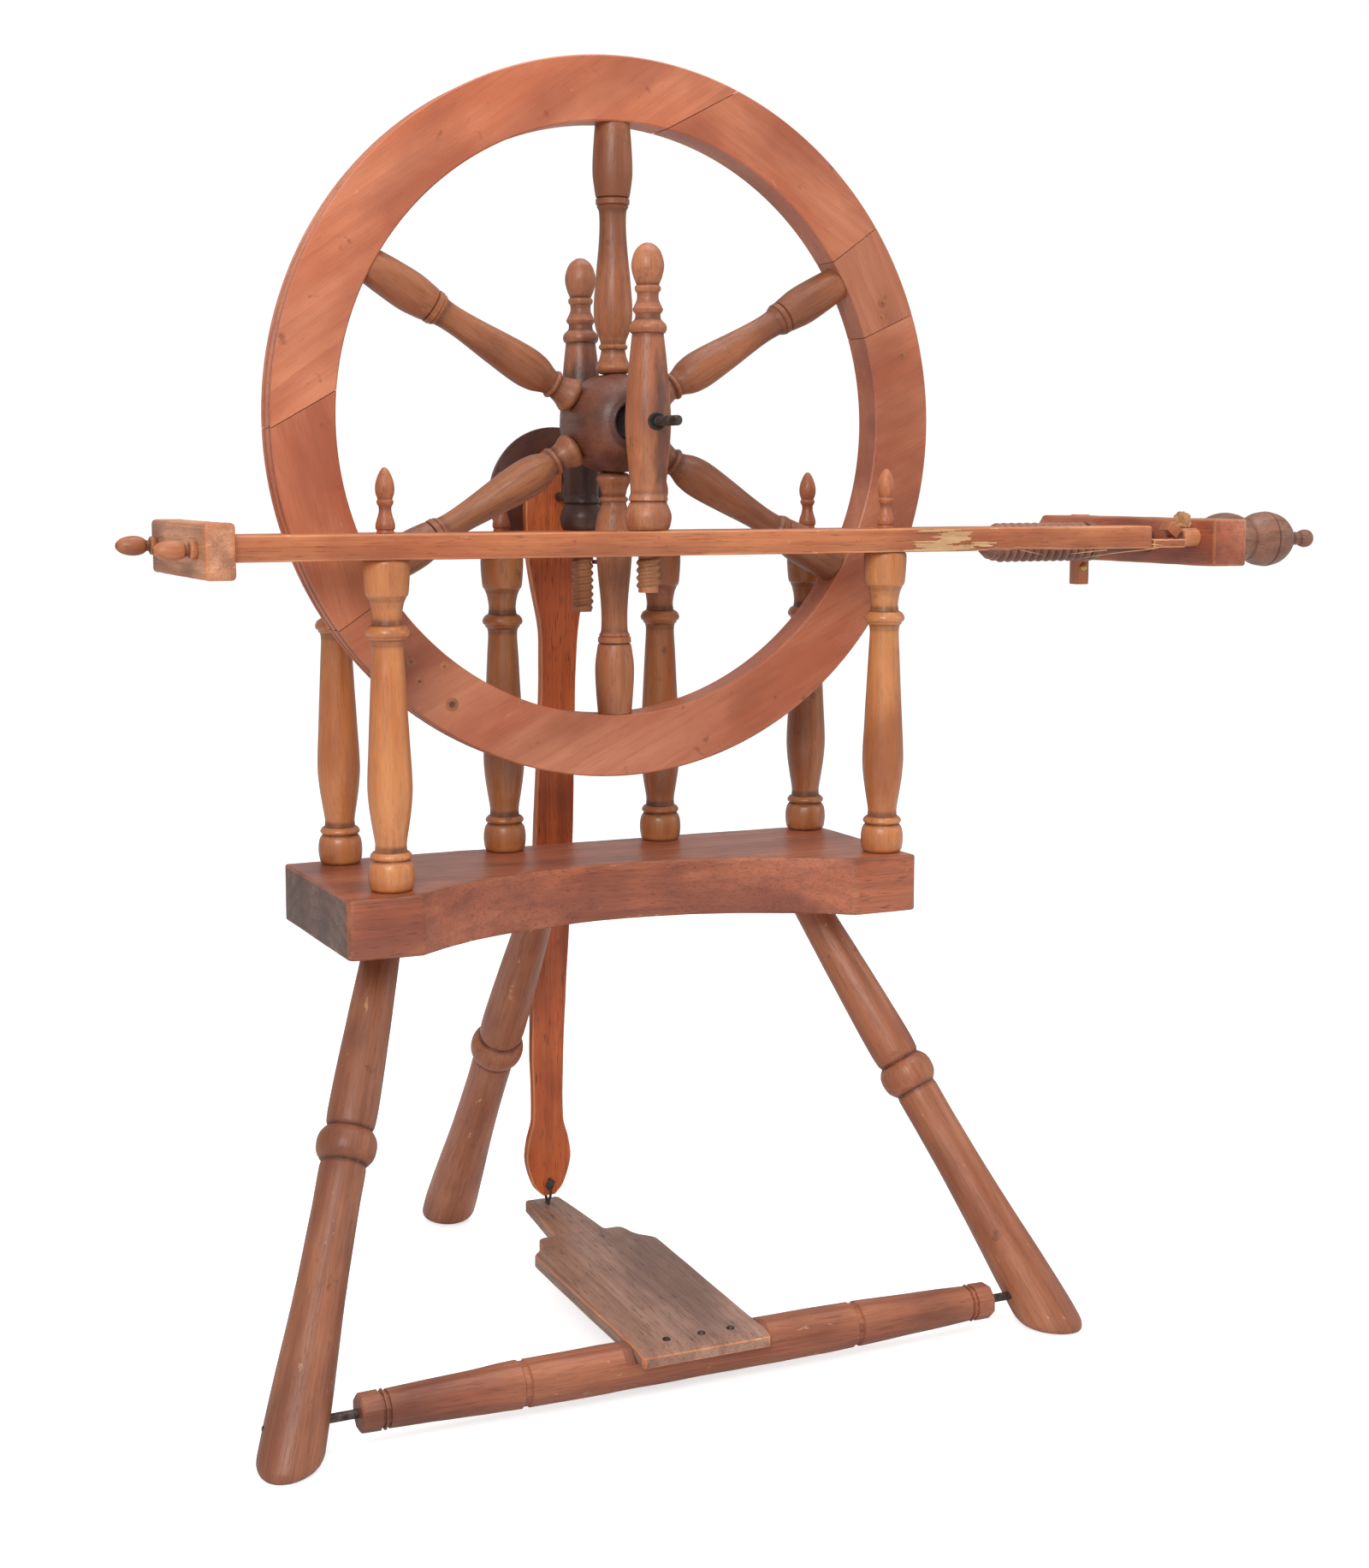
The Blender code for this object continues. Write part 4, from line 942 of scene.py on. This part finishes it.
# %% Left block and its finials
block_stain = timber("left_block_stain", paint(225, 160, 120), paint(172, 109, 78),
                     paint(106, 66, 51), rings=0.35, pores=0.6, wear=0.75, rough=0.55)
low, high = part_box("left_end_block")
shape = block_shape(low, high, 0.0026, 2)
slice_up(shape, 1, low.y, high.y, 0.008)
slice_up(shape, 2, low.z, high.z, 0.006)
weather(shape, 0.0003, 60)
mark_wood(shape, ALONG_Y)
hand_over(shape, "left_block", "frame", (block_stain, worn_arris),
          ["left_end_block"], crease=30)
END_FINIAL = ((0.0275, 0.0), (0.0268, 0.0022), (0.0235, 0.0050), (0.0185, 0.0065),
              (0.0135, 0.0067), (0.0090, 0.0055), (0.0068, 0.0037, 1), (0.0048, 0.0036, 1),
              (0.0040, 0.0060), (0.0020, 0.0062), (0.0, 0.0055, 1), (0.0, 0.0))
for side in ("front", "rear"):
    node = f"{side}_end_finial"
    base = middle(node)
    base.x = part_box(node)[1].x
    turn_piece(f"{side}_end_knob", END_FINIAL, base, (-1, 0, 0), "frame", walnut_stain,
               [node], steps=32)

# %% [markdown]
# The right block carries the tension screw. The upper and lower edges of its rear end are planed
# off in a wide chamfer, and only then are the other arrises eased, so that the cuts differ.

# %% Right block
low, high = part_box("right_end_block")
shape = bmesh.new()
size = high - low
bmesh.ops.create_cube(shape, size=1.0, matrix=Matrix.Translation((low + high) / 2)
                      @ Matrix.Diagonal((*size, 1.0)))
rear_corners = [edge for edge in shape.edges
                if all(abs(vert.co.y - high.y) < 0.0001 for vert in edge.verts)
                and abs(edge.verts[0].co.z - edge.verts[1].co.z) < 0.0001]
bmesh.ops.bevel(shape, geom=rear_corners, offset=0.0085, offset_type="OFFSET", segments=1,
                profile=0.5, affect="EDGES", material=-1)
round_arrises(shape, 0.0018, 2, limit=30)
slice_up(shape, 1, low.y, high.y, 0.009)
weather(shape, 0.0003, 60)
mark_wood(shape, ALONG_Y)
hand_over(shape, "right_block", "frame", (bench_stain, worn_arris),
          ["right_end_block"], crease=28)

# %% [markdown]
# A square peg goes down through the block's rear arm, and a brass tack is driven into its face.

# %% Peg and tack
low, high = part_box("right_block_peg")
shape = block_shape(low, high, 0.0010)
mark_wood(shape)
hand_over(shape, "block_peg", "frame", (honey_stain, worn_arris),
          ["right_block_peg"])
low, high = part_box("right_block_peg_tack")
tack = ((0.0023, 0.0), (0.0021, 0.0014), (0.0012, 0.0030), (0.0004, 0.0036, 1), (0.0, 0.0036, 1),
        (0.0, 0.0))
turn_piece("brass_tack", tack, Vector((middle("right_block_peg_tack").x, high.y,
                                        middle("right_block_peg_tack").z)), (0, -1, 0), "frame",
           brass, ["right_block_peg_tack"], steps=24)

# %% [markdown]
# A scrap of stitched leather is caught at the joint. It is a small grid bent into an arch and
# given its thickness, with its outline nibbled away by noise.

# %% Leather scrap
low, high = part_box("leather_scrap")
centre = (low + high) / 2
shape = bmesh.new()
bmesh.ops.create_grid(shape, x_segments=26, y_segments=18, size=0.5)
frayed = [face for face in shape.faces
          if (2 * face.calc_center_median().x) ** 4 + (2 * face.calc_center_median().y) ** 4
          > 0.85 + 0.5 * noise.noise(face.calc_center_median() * 7)]
bmesh.ops.delete(shape, geom=frayed, context="FACES")
stitches = [face for face in shape.faces for column in range(5)
            if (face.calc_center_median().xy - Vector((column * 0.17 - 0.34, 0.22))).length
            < 0.028]
bmesh.ops.delete(shape, geom=list(set(stitches)), context="FACES")
for vert in shape.verts:
    arch = vert.co.x * 2
    vert.co = Vector((vert.co.x * 0.0172, -0.0012 * arch * arch + 0.0006
                      * noise.noise(vert.co * 9), vert.co.y * 0.0110 - 0.0022 * arch * arch))
bmesh.ops.solidify(shape, geom=shape.faces[:], thickness=0.0011)
bmesh.ops.translate(shape, vec=centre + Vector((0, 0, 0.0008)), verts=shape.verts)
hand_over(shape, "stitched_leather_scrap", "frame", leather, ["leather_scrap"])

# %% [markdown]
# ## The tension screw
# The knob is turned with a scored line round each ball, and the shank carries a coarse cut
# thread that ends in a tapered nose.

# %% Tension screw
screw_low, screw_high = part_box("tension_screw")
screw_z = (screw_low.z + screw_high.z) / 2
SHANK_R, THREAD_R, PITCH, TURNS = 0.0126, 0.0152, 0.0070, 13
KNOB = ((0.6304, 0.0), (0.6300, 0.0030), (0.6272, 0.0064), (0.6230, 0.0074), (0.6190, 0.0064),
        (0.6172, 0.0052, 1), (0.6080, 0.0056), (0.6062, 0.0064, 1), (0.6050, 0.0090),
        (0.6000, 0.0150), (0.5930, 0.0198), (0.5840, 0.0222), (0.5815, 0.0224, 1),
        (0.5808, 0.0212, 1), (0.5798, 0.0223, 1), (0.5720, 0.0210), (0.5650, 0.0178),
        (0.5610, 0.0163, 1), (0.5595, 0.0168, 1), (0.5500, 0.0204), (0.5395, 0.0217),
        (0.5290, 0.0196), (0.5200, 0.0148), (0.5160, 0.0125, 1), (0.4985, 0.0125, 1),
        (0.4985, 0.0090, 1), (0.4140, 0.0090, 1), (0.4140, 0.0112), (0.4118, 0.0140),
        (0.4080, 0.0152), (0.4040, 0.0148, 1), (0.4036, SHANK_R, 1), (0.3140, SHANK_R, 1),
        (0.3090, 0.0086, 1), (0.3090, 0.0))
turn_piece("tension_knob_and_shank", KNOB, Vector((AXLE.x, AXLE.y, screw_z)), (1, 0, 0),
           "tension_screw_body", dusky_stain, ["tension_screw"], steps=64)
shape = thread_shape(SHANK_R - 0.0004, THREAD_R, PITCH, TURNS)
for vert in shape.verts:
    nose = min(1.0, 0.72 + vert.co.z / 0.045)
    vert.co.x *= nose
    vert.co.y *= nose
hollow = shape.verts.layers.float.new("hollow")
for vert in shape.verts:
    vert[hollow] = 0.8 if vert.co.xy.length < SHANK_R else -0.2
mark_wood(shape)
bmesh.ops.transform(shape, verts=shape.verts, matrix=Matrix.Translation(
    (AXLE.x + 0.3095, AXLE.y, screw_z)) @ turn_to((1, 0, 0)))
hand_over(shape, "tension_screw_thread", "tension_screw_body", dusky_stain,
          crease=60)

# %% [markdown]
# ## Balusters and finials
# Six balusters stand between the bench and the rails, each with a finial on top. They share one
# template, but the attribute `shade` and a different part of the log make every one its own.

# %% Balusters
BALUSTER = ((-0.0913, 0.0), (-0.0913, 0.0146, 1), (-0.0930, 0.0154), (-0.1000, 0.0154),
            (-0.1120, 0.0145), (-0.1146, 0.0139, 1), (-0.1154, 0.0130, 1), (-0.1200, 0.0112),
            (-0.1285, 0.0098), (-0.1335, 0.0103, 1), (-0.1352, 0.0130), (-0.1385, 0.0146),
            (-0.1408, 0.0141, 1), (-0.1416, 0.0128, 1), (-0.1430, 0.0124, 1), (-0.1442, 0.0112),
            (-0.1490, 0.0106), (-0.1650, 0.0113), (-0.2100, 0.0136), (-0.2400, 0.0150),
            (-0.2540, 0.0142), (-0.2670, 0.0124), (-0.2790, 0.0106), (-0.2838, 0.0108, 1),
            (-0.2850, 0.0128), (-0.2872, 0.0141), (-0.2888, 0.0136, 1), (-0.2896, 0.0124, 1),
            (-0.2930, 0.0146), (-0.3005, 0.0156), (-0.3080, 0.0148), (-0.3100, 0.0136, 1),
            (-0.3100, 0.0062, 1), (-0.3300, 0.0060, 1), (-0.3300, 0.0))
FINIAL = ((0.0428, 0.0), (0.0422, 0.0016), (0.0380, 0.0042), (0.0320, 0.0061), (0.0265, 0.0062),
          (0.0222, 0.0048, 1), (0.0205, 0.0056), (0.0190, 0.0052, 1), (0.0170, 0.0042),
          (0.0130, 0.0044), (0.0060, 0.0064), (0.0030, 0.0064, 1), (0.0022, 0.0056, 1),
          (0.0002, 0.0060, 1), (0.0002, 0.0))
SPINDLE_TONES = {"front_left": 0.05, "front_right": -0.05, "rear_left": -0.15,
                 "rear_mid_left": -0.65, "rear_mid_right": -0.45, "rear_right": -0.80}
for name in SPINDLE_TONES:
    spot = middle(f"{name}_baluster")
    drop = REAR_DROP if "rear" in name else 0.0
    outline = [(point[0] - drop * (point[0] > -0.15), *point[1:]) for point in BALUSTER]
    turn_piece(f"{name}_spindle", outline, Vector((spot.x, spot.y, AXLE.z)), (0, 0, 1), "frame",
               honey_stain, [f"{name}_baluster"], tone=SPINDLE_TONES[name])
    rail_top = AXLE.z - 0.074 - drop
    turn_piece(f"{name}_spindle_finial", FINIAL, Vector((spot.x, spot.y, rail_top)), (0, 0, 1),
               "frame", rail_stain, [f"{name}_finial"], steps=32)

# %% [markdown]
# ## The bench
# The bench is a thick board whose front edge is hollowed in a long curve. The curve is one
# vertex spun about the far-off centre of the hollow. The board is then sliced, so that the flat
# faces can be dished a little by wear.

# %% Bench
low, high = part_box("bench")
mid_x = (low.x + high.x) / 2
HOLLOW_HALF, HOLLOW_DEEP = 0.163, 0.058
hollow_r = (HOLLOW_HALF ** 2 + HOLLOW_DEEP ** 2) / (2 * HOLLOW_DEEP)
hollow_turn = 2 * math.asin(HOLLOW_HALF / hollow_r)
shape = bmesh.new()
first = shape.verts.new((mid_x - HOLLOW_HALF, low.y, low.z))
bmesh.ops.spin(shape, geom=[first], cent=(mid_x, low.y + HOLLOW_DEEP - hollow_r, low.z),
               axis=(0, 0, -1), dvec=(0, 0, 0), angle=hollow_turn, steps=40)
curve = sorted(shape.verts, key=lambda vert: vert.co.x)
corners = [shape.verts.new((x, y, low.z)) for x, y in
           ((high.x, low.y), (high.x, high.y), (low.x, high.y), (low.x, low.y))]
ring = shape.faces.new([*curve, *corners])
made = bmesh.ops.extrude_face_region(shape, geom=[ring])["geom"]
bmesh.ops.translate(shape, vec=(0, 0, high.z - low.z),
                    verts=[item for item in made if isinstance(item, bmesh.types.BMVert)])
bmesh.ops.recalc_face_normals(shape, faces=shape.faces)
upright = [edge for edge in shape.edges if abs(edge.verts[0].co.z - edge.verts[1].co.z) > 0.03
           and abs(edge.verts[0].co.y - low.y) < 0.0001
           and min(abs(edge.verts[0].co.x - low.x), abs(edge.verts[0].co.x - high.x)) < 0.0001]
bmesh.ops.bevel(shape, geom=upright, offset=0.0042, offset_type="OFFSET", segments=2,
                profile=0.5, affect="EDGES", material=-1)
round_arrises(shape, 0.0018, 3, limit=25)
slice_up(shape, 0, low.x, high.x, 0.012)
slice_up(shape, 1, low.y, high.y, 0.012)
for vert in shape.verts:
    vert.co.z += 0.0005 * noise.noise(vert.co * 16)
    vert.co += noise.noise_vector(vert.co * 70) * 0.00022
mark_wood(shape, ALONG_X)
shape.normal_update()
mark_ends(shape, 0)
hand_over(shape, "bench_board", "frame", (bench_stain, bench_arris, end_grain),
          ["bench"], crease=28)

# %% [markdown]
# ## The legs
# Each leg is turned with a single fat bead between two coves, driven into the bench at a splay,
# and sawn level where it meets the floor. The saw cut is `bisect_plane` at floor height, and
# the cut edge is softened.

# %% Legs
LEG = ((-0.020, 0.0), (-0.020, 0.0125, 1), (0.0, 0.0125, 1), (0.004, 0.0128), (0.020, 0.0134),
       (0.060, 0.0150), (0.110, 0.0166), (0.130, 0.0168), (0.138, 0.0163, 1), (0.1412, 0.0150, 1),
       (0.1432, 0.0172), (0.1475, 0.0196), (0.1530, 0.0203), (0.1590, 0.0194), (0.1632, 0.0168),
       (0.1650, 0.0150, 1), (0.1685, 0.0156, 1), (0.200, 0.0156), (0.255, 0.0168),
       (0.310, 0.0195), (0.350, 0.0209), (0.372, 0.0206), (0.400, 0.0200), (0.400, 0.0))
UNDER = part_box("bench")[0].z
FOOT_ROUND = 0.0090
mid_x = middle("bench").x
LEGS = (("front_left_leg", (mid_x - 0.165, AXLE.y - 0.005), (mid_x - 0.285, AXLE.y - 0.170)),
        ("front_right_leg", (mid_x + 0.165, AXLE.y - 0.005), (mid_x + 0.285, AXLE.y - 0.170)),
        ("rear_leg", (AXLE.x - 0.049, AXLE.y + 0.030), (AXLE.x - 0.049, AXLE.y + 0.250)))
for name, head, foot in LEGS:
    head = Vector((*head, UNDER))
    foot = Vector((*foot, 0.0))
    outline = [(-point[0], *point[1:]) for point in LEG]
    shape = turned_shape(outline, 64)
    mark_wood(shape)
    bmesh.ops.transform(shape, verts=shape.verts,
                        matrix=Matrix.Translation(head) @ turn_to(head - foot))
    bmesh.ops.bisect_plane(shape, geom=shape.verts[:] + shape.edges[:] + shape.faces[:],
                           plane_co=(0, 0, 0), plane_no=(0, 0, -1), clear_outer=True,
                           dist=MERGE)
    for height in (FOOT_ROUND, 0.0062, 0.0038, 0.0018, 0.0006):
        bmesh.ops.bisect_plane(shape, geom=shape.verts[:] + shape.edges[:] + shape.faces[:],
                               plane_co=(0, 0, height), plane_no=(0, 0, 1), dist=MERGE)
    middle_of_sole = Vector((foot.x, foot.y, 0.0))
    for vert in shape.verts:
        if vert.co.z < FOOT_ROUND:
            below = FOOT_ROUND - max(0.0, vert.co.z)
            tuck = FOOT_ROUND - math.sqrt(FOOT_ROUND ** 2 - below ** 2)
            inward = middle_of_sole - vert.co
            inward.z = 0.0
            vert.co += inward.normalized() * tuck * 0.85
    bmesh.ops.holes_fill(shape, edges=[edge for edge in shape.edges if edge.is_boundary])
    bmesh.ops.recalc_face_normals(shape, faces=shape.faces)
    hand_over(shape, name + "_turning", "frame", leg_stain, [name])

# %% [markdown]
# ## The treadle
# The treadle's bar is planed to eight sides, scored with grooves, and turns on two iron pins
# driven through the legs. A foot board sits in a notch in the bar and is held by three nails.
# The notch is a block taken out of the bar with a Boolean, which is then applied.

# %% Treadle bar
HINGE_Y, HINGE_Z, BAR_HALF = -0.157, 0.024, 0.2355
BOARD_X, BOARD_THICK, TILT = -0.012, 0.009, math.radians(1.9)
NOTCH_FLOOR, NOTCH_WIDE = 0.0068, 0.0968
hinge = Vector((mid_x, AXLE.y + HINGE_Y, HINGE_Z))


def groove_at(x, radius, deep, wide):
    """Four points of a flat-bottomed groove round the bar."""
    return ((x + wide, radius, 1), (x + 0.6 * wide, radius - deep, 1),
            (x - 0.6 * wide, radius - deep, 1), (x - wide, radius, 1))


half_bar = ((BAR_HALF, 0.0), (BAR_HALF, 0.0118, 1), (BAR_HALF - 0.0012, 0.0128, 1),
            *groove_at(BAR_HALF - 0.0145, 0.0131, 0.0016, 0.0011),
            *groove_at(BAR_HALF - 0.0180, 0.0132, 0.0016, 0.0011),
            *groove_at(0.124, 0.0166, 0.0018, 0.0028), (0.095, 0.0168, 1))
bar = [*half_bar, *mirrored(half_bar)]
shape = bmesh.new()
chain = [shape.verts.new((point[1], 0, point[0])) for point in bar]
edges = [shape.edges.new(pair) for pair in zip(chain, chain[1:])]
bmesh.ops.spin(shape, geom=chain + edges, cent=(0, 0, 0), axis=(0, 0, 1), dvec=(0, 0, 0),
               angle=math.tau, steps=8, use_merge=True)
bmesh.ops.remove_doubles(shape, verts=shape.verts, dist=MERGE)
bmesh.ops.recalc_face_normals(shape, faces=shape.faces)
bmesh.ops.rotate(shape, verts=shape.verts, cent=(0, 0, 0),
                 matrix=Matrix.Rotation(math.radians(22.5), 3, "Z"))
long_edges = [edge for edge in shape.edges
              if abs(edge.verts[0].co.z - edge.verts[1].co.z) > 0.02
              and edge.calc_face_angle(0.0) > 0.4]
bmesh.ops.bevel(shape, geom=long_edges, offset=0.0030, offset_type="OFFSET", segments=3,
                profile=0.5, affect="EDGES", material=-1)
slice_up(shape, 2, -BAR_HALF, BAR_HALF, 0.012)
for vert in shape.verts:
    vert.co += noise.noise_vector(vert.co * 45) * 0.0004
mark_wood(shape)
bmesh.ops.transform(shape, verts=shape.verts,
                    matrix=Matrix.Translation(hinge) @ turn_to((1, 0, 0)))
bar_piece = hand_over(shape, "treadle_bar_planed", "treadle", bar_stain,
                      ["treadle_bar"], crease=24)

notch = bmesh.new()
board_centre = Vector((AXLE.x + BOARD_X, AXLE.y + HINGE_Y, HINGE_Z + NOTCH_FLOOR + BOARD_THICK / 2))
bmesh.ops.create_cube(notch, size=1.0, matrix=Matrix.Translation(board_centre)
                      @ Matrix.Rotation(TILT, 4, "X")
                      @ Matrix.Translation((0, 0, 0.020 - BOARD_THICK / 2 - 0.0003))
                      @ Matrix.Diagonal((NOTCH_WIDE, 0.08, 0.040, 1.0)))
notch_mesh = bpy.data.meshes.new("notch_block")
notch.to_mesh(notch_mesh)
notch.free()
notch_block = bpy.data.objects.new("notch_block", notch_mesh)
bpy.context.scene.collection.objects.link(notch_block)
cut = bar_piece.modifiers.new("notch", "BOOLEAN")
cut.operation = "DIFFERENCE"
cut.solver = "EXACT"
cut.object = notch_block
bpy.context.view_layer.update()
carved = bpy.data.meshes.new_from_object(
    bar_piece.evaluated_get(bpy.context.evaluated_depsgraph_get()))
bar_piece.modifiers.clear()
bar_piece.data = carved
bpy.data.objects.remove(notch_block, do_unlink=True)
print("bar notched:", len(carved.polygons), "faces")

# %% [markdown]
# The foot board narrows in an ogee to the tongue that the thong holds. Half its outline is drawn
# and mirrored. The front edge is worn down, and three wrought nails hold it to the bar.

# %% Foot board
FRONT, TIP, SHOULDER = -0.183, 0.124, 0.044
front, tip, shoulder = FRONT - HINGE_Y, TIP - HINGE_Y, SHOULDER - HINGE_Y
right = [(0.0460, front, 1), (0.0478, front + 0.002, 1), (0.0480, 0.020, 1),
         (0.0492, shoulder - 0.037, 1), (0.0484, shoulder - 0.031), (0.0400, shoulder - 0.021),
         (0.0370, shoulder - 0.015, 1), (0.0340, shoulder - 0.003), (0.0300, shoulder, 1),
         (0.0215, shoulder + 0.0005), (0.0200, shoulder + 0.003, 1), (0.0142, tip - 0.002, 1),
         (0.0122, tip, 1)]
outline = right + mirrored(right)
shape = board_shape(outline, BOARD_THICK, 0.0009)
slice_up(shape, 1, front, tip, 0.012)
for vert in shape.verts:
    vert.co.z += 0.0005 * noise.noise(vert.co * 22)
    if vert.co.y < front + 0.004:
        vert.co.y += 0.0012 * noise.noise(Vector((vert.co.x * 160, vert.co.z * 90, 0)))
        vert.co.z -= 0.0018 * (vert.co.z > 0)
mark_wood(shape, ALONG_Y)
laid = Matrix.Translation(board_centre) @ Matrix.Rotation(TILT, 4, "X")
bmesh.ops.transform(shape, verts=shape.verts, matrix=laid)
hand_over(shape, "treadle_foot_board", "treadle", (tread_stain, worn_arris),
          ["treadle_board"], crease=30)
for number in (1, 2, 3):
    node = f"treadle_nail_{number}"
    nail = ((0.0013, 0.0), (0.0011, 0.0015), (0.0003, 0.0027), (-0.0004, 0.0028, 1), (-0.0004, 0.0))
    spot = middle(node)
    spot.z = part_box(node)[0].z
    turn_piece(f"wrought_nail_{number}", nail, spot, laid.to_3x3() @ Vector((0, 0, 1)),
               "treadle", iron, [node], steps=20)
for side in ("left", "right"):
    low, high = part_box(f"treadle_pin_{side}")
    length = high.x - low.x
    pin = ((length, 0.0), (length, 0.0024, 1), (length - 0.0007, 0.0030, 1), (0.0007, 0.0030, 1),
           (0.0, 0.0024, 1), (0.0, 0.0))
    turn_piece(f"hinge_pin_{side}", pin, Vector((low.x, (low.y + high.y) / 2,
                                                  (low.z + high.z) / 2)), (1, 0, 0), "frame", iron,
               [f"treadle_pin_{side}"], steps=24)

# %% [markdown]
# ## The footman
# The footman is the flat board that joins the treadle to the crank. It widens at the head and
# narrows to a small waist above its rounded foot, where a thong ties it to the treadle.

# %% Footman board
low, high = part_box("footman")
tie = Vector((AXLE.x + BOARD_X, AXLE.y + FOOTMAN_Y,
              board_centre.z + (FOOTMAN_Y - HINGE_Y) * math.tan(TILT)))
pin = AXLE.z - CRANK_THROW - tie.z
foot = low.z - tie.z
lean = -BOARD_X
FOOTMAN_THICK = 0.008
right = [(0.0050, foot, 1), (0.0120, foot + 0.008), (0.0182, foot + 0.028),
         (0.0168, foot + 0.044), (0.0125, foot + 0.062), (0.0133, foot + 0.120),
         (0.0155 + lean * 0.5, pin * 0.5), (0.0147 + lean, pin - 0.110),
         (0.0225 + lean, pin - 0.060), (0.0245 + lean, pin - 0.045), (0.0260 + lean, pin),
         (0.0205 + lean, pin + 0.024), (0.0080 + lean, pin + 0.036, 1)]
left = [(-0.0080 + lean, pin + 0.036, 1), (-0.0205 + lean, pin + 0.024), (-0.0260 + lean, pin),
        (-0.0245 + lean, pin - 0.045), (-0.0225 + lean, pin - 0.060),
        (-0.0147 + lean, pin - 0.110), (-0.0155 + lean * 0.5, pin * 0.5),
        (-0.0133, foot + 0.120), (-0.0125, foot + 0.062), (-0.0168, foot + 0.044),
        (-0.0182, foot + 0.028), (-0.0120, foot + 0.008), (-0.0050, foot, 1)]
shape = board_shape(right + left, FOOTMAN_THICK, 0.0010)
slice_up(shape, 1, 0.0, 0.56, 0.012)
weather(shape, 0.00025, 40)
mark_wood(shape, ALONG_Y)
bmesh.ops.transform(shape, verts=shape.verts, matrix=Matrix.Translation(tie)
                    @ Matrix.Rotation(math.radians(90), 4, "X"))
hand_over(shape, "footman_board", "footman_link", (footman_stain, worn_arris),
          ["footman"], crease=30)

disc = middle("footman_disc")
disc_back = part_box("footman_disc")[0].y
plate = ((0.0030, 0.0), (0.0030, 0.0508, 1), (0.0022, 0.0520, 1), (0.0006, 0.0520, 1),
         (0.0, 0.0510, 1), (0.0, 0.0))
# The round plate's near-black finish is partly its own stain and partly painted shade.
turn_piece("footman_round_plate", plate, Vector((disc.x, disc_back, disc.z)), (0, 1, 0),
           "footman_link", plate_stain_and_shade, ["footman_disc"], steps=72)
cap = middle("crank_keeper")
keeper = ((0.0060, 0.0), (0.0058, 0.0026), (0.0050, 0.0034, 1), (0.0018, 0.0034, 1),
          (0.0014, 0.0078), (0.0004, 0.0085, 1), (0.0, 0.0085, 1), (0.0, 0.0))
turn_piece("crank_washer", keeper, Vector((cap.x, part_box("crank_keeper")[0].y, cap.z)), (0, 1, 0),
           "footman_link", iron, ["crank_keeper"], steps=40)

# %% [markdown]
# The thong is a closed loop, and the frame's own tube has the right shape, so it only gets a
# leather finish. A knot is a small ball pushed out of round by noise.

# %% Thong
THONG_R, KNOT_DROP = 0.0012, 0.0045
low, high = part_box("footman_tie")
tie_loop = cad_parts["footman_tie"]
tie_loop.data.materials.clear()
tie_loop.data.materials.append(thong)
for number, (y, turn) in enumerate(((high.y - THONG_R, 20), (low.y + THONG_R, -35)), 1):
    shape = bmesh.new()
    bmesh.ops.create_icosphere(shape, subdivisions=3, radius=1.0)
    for vert in shape.verts:
        vert.co *= 1.0 + 0.22 * noise.noise(vert.co * 2.3 + Vector((number * 5.0, 0, 0)))
        vert.co += Vector((0, 0, 0.25 * math.sin(vert.co.x * 3.0)))
    bmesh.ops.transform(shape, verts=shape.verts, matrix=Matrix.Translation(
        (AXLE.x + BOARD_X, y, high.z - KNOT_DROP)) @ Matrix.Rotation(math.radians(turn), 4, "Y")
        @ Matrix.Diagonal((0.0042, 0.0019, 0.0034, 1.0)))
    hand_over(shape, f"thong_knot_{number}", "footman_link", thong)

# %% [markdown]
# A short iron pin through the rear post's tenon stops it from lifting.

# %% Lock pin
low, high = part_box("rear_post_lock_pin")
shape = block_shape(low, high, 0.0004, 1)
hand_over(shape, "tenon_lock_pin", "frame", iron, ["rear_post_lock_pin"])

# %% [markdown]
# ## Finish
# The size of the finished object is printed.

# %% Sizes and finish
low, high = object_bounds()
print("visual size in mm:", [round((b - a) * 1000, 1) for a, b in zip(low, high)])
